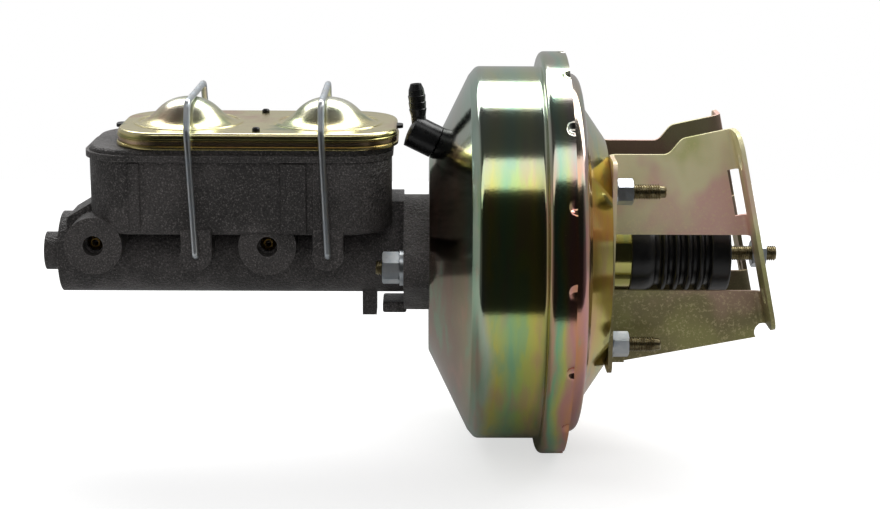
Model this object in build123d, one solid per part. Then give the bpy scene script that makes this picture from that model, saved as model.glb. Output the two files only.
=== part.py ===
from build123d import *
import math
import os

# Vacuum brake booster with a dual-reservoir master cylinder and firewall brackets.
# Sizes are millimetres. The model is built about the booster's own axis: X runs rearwards
# from the face where the cylinder meets the booster, Z is up. At the end every piece is
# moved so that the origin lies at the centre of the firewall hole pattern.

# Fits and clearances
RUNNING = 0.05          # radial clearance of a shaft in its hole
LOOSE = 0.3             # gap between pieces that move past each other
STUD_HOLE_PLAY = 0.4    # radial play of a stud in its hole

# Booster shells
WALL = 1.9
FACE_R = 62.0
FACE_ROLL = 4.0         # how far the cone starts outside the flat face
CONE_START_X = 2.0
CONE_END_X = 24.5
CONE_LIP = 5.5          # how far the cone's end lies inside the drum's radius
DRUM_R = 117.5
DRUM_START_X = 29.0
RIM_STEP_X = 68.0
RIM_STEP = 9.5          # how far the rim's band stands out from the drum
BAND_END_X = 84.0
SHELL_ROUND = 4.0       # bend radii of the pressed shells
DRUM_ROUND = 5.0
STEP_ROUND = 2.2
BAND_ROUND = 3.5
CRIMP_COUNT = 16
CRIMP_WIDTH = 14.0
CRIMP_DEPTH = 3.4
CRIMP_WALL = 1.4
CRIMP_GAP = 0.2
REAR_RIM_X = 77.4
BULGE_STEP = 13.5       # how far the rear shell's bulge lies inside the band
BULGE_ROUND = 6.0
BULGE_END_X = 92.0
REAR_CONE_RISE = 21.5   # how far the rear cone spreads from the face to the bulge's foot
REAR_CONE_X = 95.2
REAR_FACE_MARGIN = 8.2  # flat rim of the rear face outside its studs
REAR_FACE_X = 110.0
REAR_FACE_ROUND = 2.5
RIM_ROUND = 2.5
SLEEVE_ROUND = 3.0
HUB_R = 22.5
HUB_END_X = 129.0
CENTRE_HOLE_R = 24.0

# Studs
STUD_R = 4.7
STUD_HEAD_R = 8.0
REAR_HEAD_R = 5.6
STUD_HEAD = 2.4
STUD_SIDE = 42.85       # half of the 85.7 mm stud spacing
REAR_STUD_Z = 48.0
REAR_STUD_LENGTH = 33.5
DOG_R = 3.6
DOG_LENGTH = 3.2
FRONT_STUD_LENGTH = 32.5
NUT_AF = 17.5
NUT_HEIGHT = 10.6
REAR_NUT_AF = 14.3
REAR_NUT_HEIGHT = 9.8
WASHER = 2.4
WASHER_R = 11.0
REAR_WASHER = 1.1
REAR_WASHER_R = 8.6

# Firewall brackets
SHEET = 2.6
BEND_R = 3.0
PLATE_LAP = 1.0         # how far the side plate starts beyond each bend
PLATE_INNER_Y = 24.8
FLANGE_OUTER_Y = 56.0
BASE_TOP_Z = 68.0
BASE_BOTTOM_Z = -64.5
BASE_CORNER_R = 7.0
STEP_START_X = 146.5
STEP_END_X = 154.5
STEP_R = 7.0
LOWER_REAR_Z = -47.0
WINDOW_HALF = 17.9
FIREWALL_TILT = 12.3
FIREWALL_X = 205.0
FIREWALL_LOW = -38.5
FIREWALL_HIGH = 87.0
FIREWALL_CORNER_R = 12.0
FIREWALL_LEG = 13.0
FOLD_SLOT_LOW = 32.5
FOLD_SLOT_HIGH = 62.0
FOLD_SLOT_WIDTH = 6.5
NOTCH_R = 5.6
HOLE_SPACING = 85.7
HOLE_R = 5.2
PATTERN_S = 26.0        # distance of the hole pattern's centre up the flange from the axis

# Hub, boot and push rod
BOOT_R = 24.0
BOOT_VALLEY_R = 20.2
BOOT_WALL = 1.6
BOOT_START_X = 128.8
BOOT_CUP = 13.5
BOOT_FOLDS = 5
FOLD_PITCH = 7.6
BOOT_END_X = 189.0
BOOT_BEVEL = 2.0
NECK_R = 17.5
NECK_END_X = 150.0
NECK_BORE_R = 14.4
ROD_R = 4.76            # crest of the rolled thread behind the jam nut
SHANK_R = 4.3
ROD_TIP_X = 220.5
ROD_BALL_R = 6.0
ROD_BALL_X = 116.0
JAM_NUT_X = 204.8
JAM_NUT_AF = 15.9
JAM_NUT_HEIGHT = 8.9
AIR_VALVE_TRAVEL = 1.5
PLUNGER_R = 8.0
PLUNGER_LIP = 2.0       # how far the plunger reaches past the ball's centre
MOUTH_PLAY = 0.8
POPPET_SEAT_X = 119.0
POPPET = 10.0
POPPET_WALL = 1.9
POPPET_FLOOR = 2.3
FILTER = 8.0
FILTER_PLAY = 1.5
VALVE_SPRING_WIRE_R = 0.8
VALVE_SPRING_TURNS = 4
BOOT_LAP = 2.2

# Power piston
HUB_FLANGE_X = 71.0
HUB_FLANGE_R = 33.0
HUB_FLANGE = 12.0
HUB_FLARE = 6.0         # the flange's foot stands this far outside the neck
HUB_TAPER = 8.0
PLATE_MARGIN = 13.5     # the plate's edge lies this far inside the drum
PLATE_WALL = 1.5
PLATE_DISH = 5.0
PLATE_LIP = 6.0
PLATE_BEND = 16.0
PLATE_LEAN = 2.0
PLATE_ROUND = 3.0
DIAPHRAGM_WALL = 1.8
DIAPHRAGM_BEAD = 6.4
OUTPUT_ROD_R = 5.9
OUTPUT_HEAD_R = 11.5
OUTPUT_HEAD = 4.0
REACTION_DISC = 5.0
RETURN_COIL_R = 29.0
RETURN_WIRE_R = 1.75
RETURN_TURNS = 6
SEAL_LIP = 2.5
SEAL_LENGTH = 6.5
SEAL_INSET = 2.0

# Master cylinder
BORE_R = 12.7
BORE_DEPTH = 215.0
CASTING_R = 25.3
CASTING_FRONT_X = -230.5
END_BOSS_R = 12.0
END_BOSS = 11.0
FLANGE = 15.6
FLANGE_R = 36.6
EAR_R = 13.4
PILOT_R = 23.6
PILOT = 1.6
TANK_FRONT_X = -209.0
TANK_REAR_X = -24.5
TANK_HALF_Y = 44.6
TANK_FLOOR_Z = 20.0
SHOULDER_Z = 72.6
TANK_TOP_Z = 80.0
TANK_WALL = 6.0
TANK_CORNER_R = 27.0
CHAMBER_CORNER_R = 20.0
FLOOR_R = 3.0
SLOPE_TOP_Z = 35.0
WEB_HALF_Y = 19.0
RIM_Z = 65.6
RIM_TOP_Z = 69.4
RIM_PROUD = 2.2
SHOULDER_ROUND = 3.0
DIVIDER_X = -107.0
SLOPE_X = -225.0
PORT_XS = (-205.0, -98.8)
PORT_Z = 12.8
PORT_BOSS_R = 17.6
PORT_FACE_Y = 43.0
PORT_HOLE_R = 6.3
PORT_DEPTH = 9.0        # threaded part of the port
SEAT_R = 5.0
SEAT_TIP_R = 2.0
SEAT_TIP_WALL = 0.8
SEAT_POCKET = 7.0       # pocket below the thread
SEAT_BASE = 3.6
SEAT_HEIGHT = 6.4
FEED_R = 1.6
PIVOT_XS = (-141.8, -61.6)
PIVOT_Z = 8.2
PIVOT_BOSS_R = 9.5
PIVOT_FACE_Y = 46.6
PIVOT_HOLE_DEPTH = 9.0
LUG_X = -37.3
LUG_WIDTH = 9.0
LUG_DROP = 39.0

# Cover, gasket and bails
COVER_FRONT_X = -189.0
COVER_EDGE_R = 2.5
COVER_REAR_X = -22.2
COVER_SHEET = 1.2
SKIRT_GAP = 0.3         # gap between the skirt and the reservoirs' shoulder
GASKET = 1.9
GASKET_TAB = 3.6
TAB_WIDTH = 11.0
NOTCH_PLAY = 1.0
DOME_XS = (-150.0, -63.0)
DOME_R = 31.0
DOME_RISE = 15.6
DOME_SWELL = 0.55       # share of the radius at which the bell has fallen to its knee
DOME_KNEE = 0.62        # share of the rise left there
DOME_FOOT_SLOPE = 0.2
BAIL_WIRE_R = 2.0
BAIL_SIDE_Y = 49.8
BAIL_KNEE_Z = 84.0
BAIL_TOP_Y = 42.0
BAIL_BEND_R = 5.0
BAIL_END_R = 2.3
BAIL_LEAN = 3.5         # the bar lies this far in front of the hinge
BAIL_GAP = 0.6          # gap between the bar and the dome's top

# Check valve elbow
VALVE_FOOT_X = 4.2
VALVE_BODY_R = 10.4
VALVE_BODY = 18.6
VALVE_DOME_R = 38.0     # the body's end is slightly domed
ELBOW_REACH = 11.2      # distance of the nipple's foot from the shell
VALVE_STEM_R = 6.0
NIPPLE_R = 4.6
BARB_R = 5.5
BARB_STEP = 0.35        # how far each barb's crest stands out
BARBS = 3
BARB_PITCH = 4.2
BARB_TOP = 7.4          # rounded tip above the last barb
NIPPLE_LEAN = 5.0
NIPPLE_HEIGHT = 32.0
NIPPLE_TIP_R = 3.4
NIPPLE_BORE_R = 2.4
GROMMET_LIP = 2.0

PISTON_REST_X = -5.2
SECONDARY_FRONT_X = -180.0
SECONDARY_REAR_X = -112.0
PRIMARY_FRONT_X = -74.0
CUP_WIDTH = 4.0
CUP_DEPTH = 3.4
SOCKET_R = 7.6
SOCKET_DEPTH = 17.0
SPRING_WIRE_R = 1.1
SPRING_INSET = 3.0      # the coils' mean radius lies this far inside the bore
PRIMARY_TURNS = 6
SECONDARY_TURNS = 5
CUP_INSET = 5.0
SNAP_RING = 1.4
SNAP_GROOVE = 1.1
SNAP_GAP = 9.0
SNAP_WIDTH = 1.6        # how far the ring stands into the bore
FEED_XS = (-186.0, -172.0, -84.0, -66.0)

# Places worked out from the sizes above
BAND_R = DRUM_R + RIM_STEP
BULGE_R = BAND_R - BULGE_STEP
CONE_START_R = FACE_R + FACE_ROLL
CONE_END_R = DRUM_R - CONE_LIP
REAR_FACE_R = math.hypot(STUD_SIDE, REAR_STUD_Z) + REAR_FACE_MARGIN
REAR_CONE_R = REAR_FACE_R + REAR_CONE_RISE
PLATE_R = DRUM_R - PLATE_MARGIN
TILT = math.radians(FIREWALL_TILT)
FIREWALL_NORMAL = Vector(math.cos(TILT), 0, math.sin(TILT))
FIREWALL_UP = Vector(-math.sin(TILT), 0, math.cos(TILT))
PATTERN = Vector(FIREWALL_X, 0, 0) + FIREWALL_UP * PATTERN_S
CONE_SLOPE = math.atan2(CONE_END_R - CONE_START_R, CONE_END_X - CONE_START_X)
PLATE_OUTER_Y = PLATE_INNER_Y + SHEET
DECK_Z = TANK_TOP_Z + GASKET
COVER_TOP_Z = DECK_Z + COVER_SHEET
COVER_SKIRT = COVER_TOP_Z - SHOULDER_Z - SKIRT_GAP
DOME_TOP_Z = COVER_TOP_Z + DOME_RISE
BAIL_TOP_Z = DOME_TOP_Z + BAIL_WIRE_R + BAIL_GAP
NUT_SEAT_X = -FLANGE - WASHER
SNAP_RING_X = PISTON_REST_X + RUNNING
REAR_NUT_SEAT_X = REAR_FACE_X + SHEET + REAR_WASHER

place = Location(PATTERN * -1)


def save(shape, name):
    """Write one node at its place in the part's frame."""
    export_step(place * shape, f"parts/{name}.step")


def group(solids):
    """Like solids that share one node."""
    return Compound(children=solids)


def lathe(points):
    """A solid of revolution about the booster's axis from (x, radius) points."""
    return revolve(make_face(Polyline(*points, close=True)), Axis.X)


def ring(start, end, outer, inner):
    """A plain ring along the booster's axis."""
    return lathe([(start, inner), (end, inner), (end, outer), (start, outer)])


def rod(start, end, radius):
    """A plain round bar along the booster's axis."""
    return Plane((start, 0, 0), z_dir=(1, 0, 0)) * extrude(Circle(radius), end - start)


def stamping(points, radii, wall):
    """A turned sheet-metal shell: an open (x, radius) line with rounded corners and a wall.

    The wall lies on the right of the line as it is walked.
    """
    line = FilletPolyline(*points, radius=radii)
    return revolve(make_face(offset(line, wall, side=Side.RIGHT)), Axis.X)


def across(x, y, z, radius, length):
    """A round bar along Y, from y to y + length."""
    return Pos(x, y, z) * Rot(-90, 0, 0) * Cylinder(
        radius, length, align=(Align.CENTER, Align.CENTER, Align.MIN)
    )


def coil(start, end, radius, wire, turns):
    """A compression spring along the booster's axis, its wire clear of both seats."""
    height = end - start - 2 * wire
    path = Helix(height / turns, height, radius, center=(start + wire, 0, 0), direction=(1, 0, 0))
    return sweep(Plane(path @ 0, z_dir=path % 0) * Circle(wire), path, is_frenet=True)


def nut(start, height, across_flats, bore):
    """A hexagon nut along the booster's axis with chamfered corners."""
    corner = across_flats / math.sqrt(3)
    bevel = corner - across_flats / 2
    body = Plane((start, 0, 0), z_dir=(1, 0, 0)) * extrude(
        RegularPolygon(across_flats / 2, 6, major_radius=False), height
    )
    envelope = lathe([
        (start, 0),
        (start, across_flats / 2),
        (start + bevel / 2, corner),
        (start + height - bevel / 2, corner),
        (start + height, across_flats / 2),
        (start + height, 0),
    ])
    return (body & envelope) - rod(start, start + height, bore)


# Booster shells

def front_shell():
    """Deep front shell: face, cone, drum, stepped rim and crimps at the rim's edge."""
    shell = stamping(
        [
            (0, CENTRE_HOLE_R),
            (0, FACE_R),
            (CONE_START_X, CONE_START_R),
            (CONE_END_X, CONE_END_R),
            (DRUM_START_X, DRUM_R),
            (RIM_STEP_X, DRUM_R),
            (RIM_STEP_X, BAND_R),
            (BAND_END_X, BAND_R),
        ],
        [SHELL_ROUND, SHELL_ROUND, DRUM_ROUND, DRUM_ROUND, STEP_ROUND, BAND_ROUND],
        WALL,
    )
    for side in (-1, 1):
        shell -= Pos(0, side * STUD_SIDE, 0) * rod(0, WALL, STUD_R + RUNNING)
    foot = cone_point(VALVE_FOOT_X)
    shell -= Plane(foot, z_dir=cone_normal()) * Cylinder(VALVE_STEM_R + GROMMET_LIP, 4 * WALL)
    length = BAND_END_X - REAR_RIM_X - CRIMP_GAP
    to_rear = (Align.MAX, Align.CENTER, Align.MAX)
    for index in range(CRIMP_COUNT):
        turn = Rot(360 / CRIMP_COUNT * (index + 0.5), 0, 0) * Pos(BAND_END_X, 0, BAND_R)
        sunk = Pos(0, 0, -WALL / 2) * Box(length, CRIMP_WIDTH, CRIMP_DEPTH + WALL / 2, align=to_rear)
        pocket = Box(length - CRIMP_WALL, CRIMP_WIDTH - 2 * CRIMP_WALL, CRIMP_DEPTH, align=to_rear)
        shell = shell + turn * sunk - turn * pocket
    return shell


def rear_shell():
    """Rear shell: rim under the crimps, bulge, cone, face and the hub's sleeve."""
    rim_r = BAND_R - WALL - LOOSE
    shell = stamping(
        [
            (REAR_RIM_X, rim_r),
            (REAR_RIM_X, BULGE_R),
            (BULGE_END_X, BULGE_R),
            (REAR_CONE_X, REAR_CONE_R),
            (REAR_FACE_X, REAR_FACE_R),
            (REAR_FACE_X, HUB_R),
            (HUB_END_X, HUB_R),
        ],
        [RIM_ROUND, BULGE_ROUND, SHELL_ROUND, REAR_FACE_ROUND, SLEEVE_ROUND],
        WALL,
    )
    for turn in rear_stud_spots():
        shell -= turn * rod(REAR_FACE_X - WALL, REAR_FACE_X, STUD_R + RUNNING)
    return shell


def cone_point(x):
    """A point on the outside of the front cone, at the top of the booster."""
    radius = CONE_START_R + (x - CONE_START_X) * math.tan(CONE_SLOPE)
    return Vector(x, 0, radius)


def cone_normal():
    """The front cone's outward normal at the top of the booster."""
    return Vector(-math.sin(CONE_SLOPE), 0, math.cos(CONE_SLOPE))


def rear_stud_spots():
    """The places of the four rear studs."""
    return [Pos(0, y, z) for y in (-STUD_SIDE, STUD_SIDE) for z in (-REAR_STUD_Z, REAR_STUD_Z)]


def front_stud_spots():
    """The places of the two front studs."""
    return [Pos(0, y, 0) for y in (-STUD_SIDE, STUD_SIDE)]


def front_studs():
    """Two studs whose heads bear on the inside of the front face."""
    stud = rod(-FRONT_STUD_LENGTH, WALL, STUD_R) + rod(WALL, WALL + STUD_HEAD, STUD_HEAD_R)
    return [spot * stud for spot in front_stud_spots()]


def rear_studs():
    """Four studs with dog points, their heads inside the rear face."""
    root = REAR_FACE_X - WALL
    tip = REAR_FACE_X + REAR_STUD_LENGTH
    stud = rod(root, tip - DOG_LENGTH, STUD_R) + rod(tip - DOG_LENGTH, tip, DOG_R)
    stud += rod(root - STUD_HEAD, root, REAR_HEAD_R)
    return [spot * stud for spot in rear_stud_spots()]


# Firewall brackets

def angle_section(turn):
    """An L of bent sheet in X-Y. The flange's outer face is X = 0, and the leg runs along
    +X when turn is 1 and along -X when turn is -1."""
    leg = turn * FIREWALL_LEG
    skin = turn * SHEET
    face = make_face(Polyline(
        (0, FLANGE_OUTER_Y),
        (0, PLATE_INNER_Y),
        (leg, PLATE_INNER_Y),
        (leg, PLATE_OUTER_Y),
        (skin, PLATE_OUTER_Y),
        (skin, FLANGE_OUTER_Y),
        close=True,
    ))
    outside = face.vertices().sort_by_distance((0, PLATE_INNER_Y, 0))[0]
    face = fillet(outside, BEND_R + SHEET)
    inside = face.vertices().sort_by_distance((skin, PLATE_OUTER_Y, 0))[0]
    return fillet(inside, BEND_R)


def rounded_flange(strip, radius):
    """Round the two free corners of a flange strip that runs along Z."""
    corners = strip.edges().filter_by(Axis.X).group_by(Axis.Y)[-1]
    return fillet(corners, radius)


def side_plate():
    """The bracket's upright plate, its top edge stepping up towards the firewall."""
    lean = math.tan(TILT)
    lap = SHEET + BEND_R + PLATE_LAP
    front_x = REAR_FACE_X + lap
    rear_x = FIREWALL_X - lap / math.cos(TILT)
    plate = Pos(0, PLATE_OUTER_Y, 0) * extrude(
        Plane.XZ * make_face(Polyline(
            (front_x, BASE_BOTTOM_Z),
            (rear_x - LOWER_REAR_Z * lean, LOWER_REAR_Z),
            top_line(lap),
            top_line((FIREWALL_X - STEP_END_X) / math.cos(TILT) - FIREWALL_HIGH * lean),
            (STEP_START_X, BASE_TOP_Z),
            (front_x, BASE_TOP_Z),
            close=True,
        )),
        SHEET,
    )
    steps = plate.edges().filter_by(Axis.Y)
    low = steps.sort_by_distance((STEP_START_X, PLATE_OUTER_Y, BASE_TOP_Z))[0]
    high = steps.sort_by_distance((STEP_END_X, PLATE_OUTER_Y, FIREWALL_HIGH))[0]
    return fillet([low, high], STEP_R)


def top_line(distance):
    """A point (x, z) on the line square to the firewall through the flange's top."""
    point = Vector(FIREWALL_X, 0, 0) + FIREWALL_UP * FIREWALL_HIGH - FIREWALL_NORMAL * distance
    return (point.X, point.Z)


def right_bracket():
    """The bracket on the +Y side: base flange, side plate and firewall flange in one sheet."""
    section = angle_section(1)
    base = Pos(REAR_FACE_X, 0, BASE_BOTTOM_Z) * rounded_flange(
        extrude(section, BASE_TOP_Z - BASE_BOTTOM_Z), BASE_CORNER_R
    )
    firewall = firewall_plane() * Pos(0, 0, FIREWALL_LOW) * rounded_flange(
        extrude(angle_section(-1), FIREWALL_HIGH - FIREWALL_LOW), FIREWALL_CORNER_R
    )
    shape = base + firewall + side_plate()
    bend = PLATE_OUTER_Y + BEND_R - PLATE_INNER_Y
    rear = FIREWALL_X + WINDOW_HALF
    window = Box(rear - REAR_FACE_X, bend, 2 * WINDOW_HALF,
                 align=(Align.MIN, Align.MIN, Align.CENTER))
    shape -= Pos(REAR_FACE_X, PLATE_INNER_Y, 0) * window
    slot = Box(FOLD_SLOT_WIDTH + SHEET, bend, FOLD_SLOT_HIGH - FOLD_SLOT_LOW,
               align=(Align.MAX, Align.MIN, Align.MIN))
    shape -= firewall_plane() * Pos(0, PLATE_INNER_Y, FOLD_SLOT_LOW) * slot
    notch_x = FIREWALL_X - SHEET - LOWER_REAR_Z * math.tan(TILT) - NOTCH_R / 2
    shape -= across(notch_x, PLATE_INNER_Y, LOWER_REAR_Z + NOTCH_R / 2, NOTCH_R, bend)
    for side in (-1, 1):
        shape -= Pos(0, STUD_SIDE, side * REAR_STUD_Z) * rod(
            REAR_FACE_X, REAR_FACE_X + SHEET, STUD_R + STUD_HOLE_PLAY
        )
        hole = Plane.YZ * Cylinder(HOLE_R, 4 * SHEET)
        shape -= firewall_plane() * Pos(0, HOLE_SPACING / 2, PATTERN_S + side * HOLE_SPACING / 2) * hole
    return shape


def firewall_plane():
    """The firewall face: local X is its normal, local Z runs up the slope from the axis."""
    return Plane((FIREWALL_X, 0, 0), x_dir=FIREWALL_NORMAL, z_dir=FIREWALL_UP)


# Boot and push rod

def boot():
    """Bellows boot: a cup on the hub's sleeve, folds, and a closed end about the push rod."""
    folds_x = BOOT_START_X - BOOT_LAP + BOOT_CUP
    outer = [(BOOT_START_X - BOOT_LAP, BOOT_R), (folds_x, BOOT_R)]
    inner = [(BOOT_START_X - BOOT_LAP, HUB_R + LOOSE), (folds_x, HUB_R + LOOSE)]
    for index in range(BOOT_FOLDS):
        valley = folds_x + (index + 0.5) * FOLD_PITCH
        crest = folds_x + (index + 1) * FOLD_PITCH
        outer += [(valley, BOOT_VALLEY_R), (crest, BOOT_R)]
        inner += [(valley, BOOT_VALLEY_R - BOOT_WALL), (crest, BOOT_R - BOOT_WALL)]
    outer += [(BOOT_END_X - BOOT_BEVEL, BOOT_R), (BOOT_END_X, BOOT_R - BOOT_BEVEL)]
    inner += [(BOOT_END_X - 2 * BOOT_WALL, BOOT_R - BOOT_WALL)]
    mouth = SHANK_R + LOOSE
    close = [(BOOT_END_X, mouth), (BOOT_END_X - 2 * BOOT_WALL, mouth)]
    return lathe(outer + close + inner[::-1])


def input_pushrod():
    """The input rod, with its ball inside the air valve plunger."""
    thread_x = JAM_NUT_X + JAM_NUT_HEIGHT
    shank = rod(ROD_BALL_X, thread_x, SHANK_R) + rod(thread_x, ROD_TIP_X, ROD_R)
    return shank + Pos(ROD_BALL_X, 0, 0) * Sphere(ROD_BALL_R)


# Power piston

def valve_body():
    """Moulded hub: front socket for the output rod, flange, and a hollow neck to the rear."""
    socket = OUTPUT_HEAD_R + RUNNING
    front = HUB_FLANGE_X
    deep = front + OUTPUT_HEAD + REACTION_DISC
    back = front + HUB_FLANGE
    body = lathe([
        (front, socket),
        (front, HUB_FLANGE_R),
        (front + HUB_FLANGE / 2, HUB_FLANGE_R),
        (back, NECK_R + HUB_FLARE),
        (back + HUB_TAPER, NECK_R),
        (NECK_END_X, NECK_R),
        (NECK_END_X, NECK_BORE_R),
        (POPPET_SEAT_X, NECK_BORE_R),
        (POPPET_SEAT_X, PLUNGER_R + RUNNING),
        (deep, PLUNGER_R + RUNNING),
        (deep, socket),
    ])
    return body


def reaction_disc():
    """Rubber disc between the output rod's head and the valve body."""
    start = HUB_FLANGE_X + OUTPUT_HEAD
    return rod(start, start + REACTION_DISC, OUTPUT_HEAD_R)


def output_rod():
    """The rod that carries the power piston's push into the primary piston."""
    tip = PISTON_REST_X - SOCKET_DEPTH + LOOSE
    shaft = rod(tip, HUB_FLANGE_X, OUTPUT_ROD_R)
    return shaft + rod(HUB_FLANGE_X, HUB_FLANGE_X + OUTPUT_HEAD, OUTPUT_HEAD_R)


def diaphragm_plate():
    """Pressed plate that spreads the diaphragm's push into the valve body's flange."""
    seat = HUB_FLANGE_X + HUB_FLANGE / 2
    return stamping(plate_line(seat, HUB_FLANGE_R + RUNNING), [PLATE_ROUND] * 4, PLATE_WALL)


def plate_line(seat, inner):
    """The plate's (x, radius) line: seat on the hub, dish, flat and forward lip."""
    return [
        (seat, inner),
        (seat, PLATE_R / 2),
        (seat + PLATE_DISH, PLATE_R / 2 + PLATE_DISH),
        (seat + PLATE_DISH, PLATE_R - PLATE_BEND),
        (seat - PLATE_LEAN, PLATE_R - PLATE_LIP),
        (seat - PLATE_LIP - PLATE_LEAN, PLATE_R),
    ]


def diaphragm():
    """Rubber diaphragm: inner bead on the hub, flat web, rolling fold, clamped outer bead."""
    seat = HUB_FLANGE_X + HUB_FLANGE / 2 + LOOSE
    bead_r = BAND_R - WALL - LOOSE
    bead_x = RIM_STEP_X + WALL + LOOSE
    bead_end = REAR_RIM_X - WALL - LOOSE
    fold_x = bead_x + DIAPHRAGM_WALL + LOOSE
    web = stamping(
        plate_line(seat + 2 * PLATE_WALL - LOOSE, NECK_R + HUB_FLANGE)[:-1] + [
            (seat - PLATE_LIP + DIAPHRAGM_WALL, PLATE_R + PLATE_DISH),
            (fold_x, BULGE_R - DIAPHRAGM_WALL - PLATE_WALL),
            (fold_x, bead_r - DIAPHRAGM_BEAD / 2),
        ],
        [PLATE_ROUND] * 4 + [DIAPHRAGM_WALL, PLATE_WALL],
        DIAPHRAGM_WALL,
    )
    bead = lathe([
        (bead_x, bead_r - DIAPHRAGM_BEAD),
        (bead_x, bead_r - DIAPHRAGM_BEAD / 2),
        (bead_x + DIAPHRAGM_BEAD / 2, bead_r),
        (bead_end, bead_r),
        (bead_end, bead_r - DIAPHRAGM_BEAD),
    ])
    return web + bead


def plunger():
    """Air valve plunger that the push rod's ball sits in."""
    start = HUB_FLANGE_X + OUTPUT_HEAD + REACTION_DISC + AIR_VALVE_TRAVEL
    ball = Pos(ROD_BALL_X, 0, 0) * Sphere(ROD_BALL_R + RUNNING)
    body = rod(start, ROD_BALL_X + PLUNGER_LIP, PLUNGER_R) - ball
    mouth = rod(ROD_BALL_X, ROD_BALL_X + 2 * PLUNGER_LIP, SHANK_R + MOUTH_PLAY)
    return body - mouth


def poppet():
    """Rubber poppet ring that seals against the valve body and the plunger."""
    front = POPPET_SEAT_X + LOOSE
    outer = NECK_BORE_R - LOOSE
    return lathe([
        (front, PLUNGER_R + LOOSE),
        (front, outer),
        (POPPET_SEAT_X + POPPET, outer),
        (POPPET_SEAT_X + POPPET, outer - POPPET_WALL),
        (front + POPPET_FLOOR, outer - POPPET_WALL),
        (front + POPPET_FLOOR, PLUNGER_R + LOOSE),
    ])


# Master cylinder

def tank_plan(grow, front, rear, radius):
    """The reservoirs' outline in plan: a rounded rectangle."""
    return Pos((front + rear) / 2, 0) * RectangleRounded(
        rear - front + 2 * grow, 2 * (TANK_HALF_Y + grow), radius + grow
    )


def master_cylinder_body():
    """Iron casting: bore, reservoirs, flange, outlet bosses and bail bosses."""
    tank = Pos(0, 0, TANK_FLOOR_Z) * extrude(
        tank_plan(0, TANK_FRONT_X, TANK_REAR_X, TANK_CORNER_R), SHOULDER_Z - TANK_FLOOR_Z
    )
    tank = fillet(tank.edges().group_by(Axis.Z)[0], FLOOR_R)
    tank = fillet(tank.edges().group_by(Axis.Z)[-1], SHOULDER_ROUND)
    rim = Pos(0, 0, RIM_Z) * extrude(
        tank_plan(RIM_PROUD, TANK_FRONT_X, TANK_REAR_X, TANK_CORNER_R), RIM_TOP_Z - RIM_Z
    )
    deck_front = COVER_FRONT_X + 2 * COVER_SHEET
    deck = Pos(0, 0, RIM_TOP_Z) * extrude(
        tank_plan(0, deck_front, TANK_REAR_X, TANK_CORNER_R), TANK_TOP_Z - RIM_TOP_Z
    )
    shape = tank + rim + deck
    shape += rod(CASTING_FRONT_X, -FLANGE, CASTING_R)
    shape += rod(CASTING_FRONT_X - END_BOSS, CASTING_FRONT_X, END_BOSS_R)
    shape += bore_web()
    shape += mounting_flange()
    for x in PORT_XS:
        shape += across(x, -PORT_FACE_Y, PORT_Z, PORT_BOSS_R, PORT_FACE_Y)
    for x in PIVOT_XS:
        shape += across(x, -PIVOT_FACE_Y, PIVOT_Z, PIVOT_BOSS_R, 2 * PIVOT_FACE_Y)
    shape += Pos(LUG_X, 0, 0) * Box(
        LUG_WIDTH, 2 * LUG_WIDTH, LUG_DROP, align=(Align.CENTER, Align.CENTER, Align.MAX)
    )
    for front, rear in chamber_spans():
        shape -= Pos(0, 0, TANK_FLOOR_Z + TANK_WALL) * extrude(
            tank_plan(-TANK_WALL, front, rear, CHAMBER_CORNER_R), TANK_TOP_Z
        )
    shape -= rod(-BORE_DEPTH, PILOT, BORE_R)
    shape -= rod(SNAP_RING_X - RUNNING, SNAP_RING_X + SNAP_RING + RUNNING, BORE_R + SNAP_GROOVE)
    for x in PORT_XS:
        shape -= across(x, -PORT_FACE_Y, PORT_Z, PORT_HOLE_R, PORT_DEPTH)
        shape -= across(x, -PORT_FACE_Y, PORT_Z, SEAT_R + RUNNING, PORT_DEPTH + SEAT_POCKET)
        shape -= across(x, -PORT_FACE_Y + PORT_DEPTH + SEAT_POCKET, PORT_Z - SEAT_R / 2, FEED_R,
                        PORT_FACE_Y - PORT_DEPTH - SEAT_POCKET)
    for x in FEED_XS:
        shape -= Pos(x, 0, 0) * Cylinder(
            FEED_R, TANK_FLOOR_Z + TANK_WALL, align=(Align.CENTER, Align.CENTER, Align.MIN)
        )
    for x in PIVOT_XS:
        for y in (-PIVOT_FACE_Y, PIVOT_FACE_Y - PIVOT_HOLE_DEPTH):
            shape -= across(x, y, PIVOT_Z, BAIL_WIRE_R + RUNNING, PIVOT_HOLE_DEPTH)
    return shape


def bore_web():
    """The web that joins the bore casting to the reservoirs' floor."""
    face = make_face(Polyline(
        (SLOPE_X, 0), (SLOPE_X, CASTING_R), (TANK_FRONT_X, SLOPE_TOP_Z),
        (TANK_FRONT_X + FLOOR_R, TANK_TOP_Z / 2), (TANK_REAR_X - FLOOR_R, TANK_TOP_Z / 2),
        (TANK_REAR_X, FLANGE_R), (-FLANGE, FLANGE_R), (-FLANGE, 0), close=True,
    ))
    return Pos(0, WEB_HALF_Y, 0) * extrude(Plane.XZ * face, 2 * WEB_HALF_Y)


def mounting_flange():
    """Flange with two ears, and the pilot that centres it in the booster's face."""
    disc = Circle(FLANGE_R)
    ears = [Pos(side * STUD_SIDE, 0) * Circle(EAR_R) for side in (-1, 1)]
    hull = make_hull(disc.edges() + ears[0].edges() + ears[1].edges())
    plate = Plane((-FLANGE, 0, 0), x_dir=(0, 1, 0), z_dir=(1, 0, 0)) * extrude(hull, FLANGE)
    plate += rod(0, PILOT, PILOT_R)
    for spot in front_stud_spots():
        plate -= spot * rod(-FLANGE, 0, STUD_R + STUD_HOLE_PLAY)
    return plate


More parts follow.
